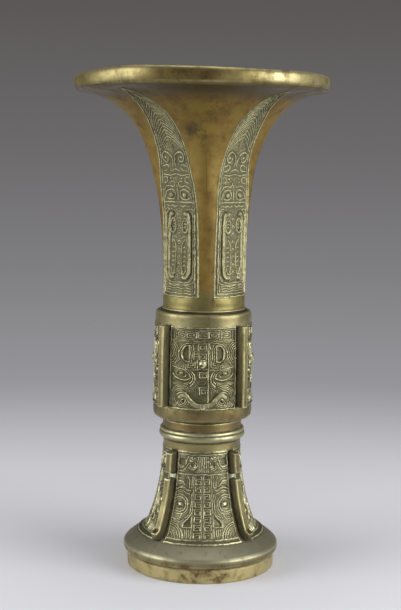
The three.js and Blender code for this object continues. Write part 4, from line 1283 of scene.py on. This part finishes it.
# %% [markdown]
# ## The foot
# From the table up: a plain ring, a groove under the skirt's overhanging lip, the plain skirt, the flaring
# wall with its two registers, a collar, and a double bead round the waist. It is one profile turned round the
# axis, and the ornament is drawn on the same grid, so its lines lie close on the slope. A separate band laid
# over a plain foot would show its edge.

# %% Foot quarters
FOOT_FLANGE = dict(width=4.1, stand=5.6)
DEPOSIT = 1.6
FOOT_ROWS = [
    ([(42.3, 0.03), (44.9, 0.0)], 0.9),
    (curve_through([(44.9, 0.0), (45.2, 0.3), (45.35, 3), (45.5, 7), (45.45, 8.3)]), 0.5),
    (curve_through([(45.45, 8.3), (45.9, 9.1), (46.9, 9.8), (47.5, 10.8), (47.7, 12.4), (47.5, 13.9),
                    (46.6, 15.2)]), 0.35),
    (curve_through([(46.6, 15.2), (44.5, 17), (41.9, 19), (40, 20.3)]), 0.4),
    (curve_through([(40, 20.3), (38.9, 21), (36, 22.9), (34, 24.9), (32.8, 27)] + FOOT_WALL[7:17]), 0.22),
    (curve_through([(23.7, 74.2), (23.7, 77), (23.85, 79.2)]), 0.4),
    (curve_through([(23.85, 79.2), (24.9, 79.9), (25.9, 80.8), (26.3, 82.1), (26.05, 83.3), (25.5, 83.9)]),
     0.25),
    (curve_through([(25.5, 83.9), (25.85, 84.6), (25.75, 85.4), (25.2, 86), (24.3, 86.4)]), 0.25),
    (curve_through([(24.3, 86.4), (24.1, 87), (24.1, 91.55)]), 0.5),
    ([(24.1, 91.55), (22.9, 91.55)], 0.6),
]
FOOT_INSIDE = [(42.1, 0.5), (42, 9), (40, 13.5), (35, 17), (30.5, 21.5), (27.5, 30), (24.6, 42), (22.4, 58),
               (21.2, 75), (20.9, 90.8)]


foot_rows = rows_along(FOOT_ROWS)
foot_radius = foot_rows[:, :1]
foot_angle, foot_z = np.broadcast_arrays(column_angles(207)[None, :], foot_rows[:, 1:])
foot_drawing = foot_panel(foot_angle, foot_z)
foot_inside = rows_along([(curve_through(FOOT_INSIDE), 4.0)])


def foot_quarter(number):
    """One quarter of the foot, its panel in the middle. A deposit swells out of the notches beside it."""
    field = in_field(foot_angle, foot_z, **FOOT_FIELD)
    tint = in_field(foot_angle, foot_z, 37.9, 20.7, 74.6)
    height = foot_drawing.height(field, MASK_SUNK, wear(foot_drawing.x, foot_drawing.y, number + 9))
    middle = 90 * number + FOOT_TURN
    from_flange = np.radians(45 - np.abs(foot_angle)) * foot_radius - FOOT_FLANGE["width"] / 2
    from_notch = np.abs(foot_z - NOTCH_HEIGHT)
    height = height + DEPOSIT * soft(from_flange, 0.2, -0.6) * soft(from_notch, 2.0, 1.0)
    outer = turned(foot_radius, foot_angle + middle, foot_z)
    outer = raised(outer, height + unevenness(outer, 5.0) * soft(foot_z, 0, 2))
    inner_angle = column_angles(26)[None, :] + middle
    inner = turned(foot_inside[:, :1], inner_angle, foot_inside[:, 1:])
    turn = turning(foot_rows)
    # Dirt and painted shade in the channel beside each flange, away from the notches.
    beside = soft(from_flange, 0.9, 0.2) * soft(foot_z, 20, 22) * soft(foot_z, 75.5, 74)
    beside = beside * soft(from_notch, 1.0, 2.0)
    marks = {
        "proud": np.maximum(standing(height, 5), MASK_BANDS_PALE * foot_drawing.plain) * tint,
        "field": tint,
        "rub": soft(turn, 0.05, 0.3) * (1 - field),
        "grime_and_shade": np.maximum(soft(-turn, 0.08, 0.4) * (1 - field), beside),
    }
    return shell(f"foot_quarter_{number + 1}", outer, inner, marks, foot_bronze, "foot")


foot = [foot_quarter(number) for number in range(4)]
print("one quarter of the foot has", len(foot[0].data.polygons), "faces")

# %% [markdown]
# ## Flanges
# Each flange is a plain bar with its long edges rounded by polishing. Its section, a rounded oblong, is
# carried up the wall's own profile, and at the ends it shrinks along a quarter circle, which rounds the
# corners. A bevelled box would be quicker, but it can't follow the foot's curve.

# %% Flanges
KNOP_FLANGE = dict(width=3.5, stand=6.2, low=101.9, high=150.8)
ROUND = 0.45
STATION = 0.8


def bar_section(width, low, high, corner, count=8):
    """A rounded oblong as (out, across) points, anticlockwise: four quarter circles at the corners."""
    quarter = np.radians(np.linspace(0, 90, count))
    points = []
    for k, (out, across) in enumerate(((high, 1), (low, 1), (low, -1), (high, -1))):
        a = quarter + np.pi / 2 * k
        middle = out - math.copysign(corner, out - (low + high) / 2), across * (width / 2 - corner)
        points.append(np.array(middle) + corner * np.column_stack([np.cos(a), np.sin(a)]))
    return np.vstack(points)


def bar_grid(profile, section, angle, width, stand, slant, sink):
    """Carries the section along the wall, as a grid with a row of points for each station, and gives each
    row's way to the nearer end. At a way w from an end it is drawn in by r - sqrt(r2 - (r - w)2). slant
    leans the upper end back by a share of how far a point stands out."""
    way = arc_length(profile)
    ends = ROUND * (1 - np.cos(np.linspace(0, np.pi / 2, 7)))
    between_ends = np.arange(ROUND + STATION, way[-1] - ROUND - STATION / 2, STATION)
    stations = np.concatenate([ends, between_ends, (way[-1] - ends)[::-1]])
    r, z = np.interp(stations, way, profile[:, 0]), np.interp(stations, way, profile[:, 1])
    along = np.gradient(np.column_stack([r, z]), stations, axis=0)
    along /= np.linalg.norm(along, axis=1, keepdims=True)
    out = np.column_stack([along[:, 1], -along[:, 0]])
    to_end = np.minimum(stations, way[-1] - stations)
    drawn_in = ROUND - np.sqrt(np.maximum(ROUND**2 - np.clip(ROUND - to_end, 0, ROUND) ** 2, 0))
    outward = np.clip(section[None, :, 0], -sink, stand - drawn_in[:, None])
    limit = width / 2 - drawn_in[:, None]
    sideways = np.clip(section[None, :, 1], -limit, limit)
    lean = slant * soft(stations, way[-1] - 6, way[-1])[:, None] * outward
    radial = r[:, None] + out[:, :1] * outward - along[:, :1] * lean
    height = z[:, None] + out[:, 1:] * outward - along[:, 1:] * lean
    turn = np.radians(angle)
    x = radial * np.cos(turn) - sideways * np.sin(turn)
    y = radial * np.sin(turn) + sideways * np.cos(turn)
    return np.stack([x, y, height], axis=-1), to_end


def bar(name, profile, angle, width, stand, slant, replaces, sink=0.6):
    """One flange: its section carried up the wall and closed at both ends, pale on its outer corners."""
    section = bar_section(width, -sink, stand, ROUND)
    section = finer(np.vstack([section, section[:1]]), 0.5)[:-1]
    points, to_end = bar_grid(profile, section, angle, width, stand, slant, sink)
    index = np.arange(points[..., 0].size).reshape(points.shape[:2])
    looped = np.hstack([index, index[:, :1]])
    faces = grid_faces(looped).tolist() + [index[0][::-1].tolist(), index[-1].tolist()]
    below_top = stand - section[:, 0]
    corner = soft(below_top, 1.3, 0.3) * soft(width / 2 - np.abs(section[:, 1]), 0.9, 0.2)
    rub = np.maximum(corner[None, :], soft(to_end, 1.2, 0.4)[:, None] * soft(below_top, 2.0, 0.5))
    # Dirt and painted shade at the flange's foot, darkest where it meets the wall.
    grime_and_shade = np.broadcast_to(soft(section[:, 0], 3.4, 0.6), rub.shape)
    marks = {"rub": rub.ravel(), "grime_and_shade": grime_and_shade.ravel()}
    smooth = np.ones(len(faces), bool)
    points = points.reshape(-1, 3)
    return new_piece(name, points, faces, smooth, handled_bronze, replaces, marks)


def stretch(rows, low, high):
    """The part of a wall's profile between two heights."""
    return rows[(rows[:, 1] >= low) & (rows[:, 1] <= high)]


knop_wall = stretch(rows_along(KNOP_ROWS[2:3]), KNOP_FLANGE["low"], KNOP_FLANGE["high"])
foot_wall = rows_along([FOOT_ROWS[4]])
lower_wall = stretch(foot_wall, 21.0, FOOT_NOTCH[0])
upper_wall = stretch(foot_wall, FOOT_NOTCH[1], 74.6)
for number in range(4):
    angle = 90 * number + 45
    bar(f"knop_flange_bar_{number + 1}", knop_wall, angle, KNOP_FLANGE["width"], KNOP_FLANGE["stand"],
        0.0, f"knop_flange_{number + 1}")
    bar(f"foot_lower_bar_{number + 1}", lower_wall, angle + FOOT_TURN, FOOT_FLANGE["width"],
        FOOT_FLANGE["stand"], 0.0, f"foot_lower_flange_{number + 1}")
    bar(f"foot_upper_bar_{number + 1}", upper_wall, angle + FOOT_TURN, FOOT_FLANGE["width"],
        FOOT_FLANGE["stand"], 0.25, f"foot_upper_flange_{number + 1}")

# %% [markdown]
# ## Solder and the hidden floor
# A thin bead of solder closes each joint. A disc soldered into the knop's foot makes the vase hold water. All
# three are turned from a short profile. A torus would do for the beads, but a flat ring with a rounded outer
# edge fills the joint as the solder does.

# %% Rings and floor
def turned_body(name, profile, paint, replaces, rough=0.0, steps=128):
    """Revolves a closed profile. rough makes its outer radius waver, as run solder does."""
    a = np.linspace(0, 2 * np.pi, steps, endpoint=False)[None, :]
    r, z = (np.asarray(profile, float)[:, k : k + 1] for k in (0, 1))
    waver = rough * (np.sin(7 * a) + np.sin(11 * a + 1) + np.sin(17 * a + 2)) / 3
    radius = r + waver * (r > r.mean())
    points = np.stack(np.broadcast_arrays(radius * np.cos(a), radius * np.sin(a), z + 0 * a), axis=-1)
    index = np.arange(points[..., 0].size).reshape(points.shape[:2])
    looped = np.vstack([index, index[:1]])
    faces = grid_faces(np.hstack([looped, looped[:, :1]]))
    smooth = np.ones(len(faces), bool)
    return new_piece(name, points.reshape(-1, 3), faces.tolist(), smooth, paint, replaces)


def joint_bead(inner, outer, low, high):
    """A flat ring with a rounded outer edge, anticlockwise: out at the bottom, round, back at the top."""
    middle, half = (low + high) / 2, (high - low) / 2
    edge = arc(outer - half, middle, half, -90, 90, 7)
    return [(inner, low), *map(tuple, edge), (inner, high)]


NECK_JOINT = (158.2, 159.0)
FOOT_JOINT = (91.6, 92.4)
FLOOR_DISC = [(0.05, 98.9), (22.4, 98.9), (22.5, 99.4), (22.5, 101.3), (22.2, 101.7), (0.05, 101.7)]
neck_bead = joint_bead(24.0, 26.5, *NECK_JOINT)
foot_bead = joint_bead(23.0, 24.0, *FOOT_JOINT)
turned_body("neck_solder_bead", neck_bead, solder, "neck_solder_ring", 0.12)
turned_body("foot_solder_bead", foot_bead, solder, "foot_solder_ring", 0.1)
turned_body("vessel_floor_disc", FLOOR_DISC, cast_bronze, "vessel_floor")
print("the joints are", round(NECK_JOINT[0] - FOOT_JOINT[0], 1), "mm apart")

# %% Sizes and the last line
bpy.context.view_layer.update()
triangles = sum(len(p.vertices) - 2 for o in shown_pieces() for p in o.data.polygons)
print("triangles:", triangles)
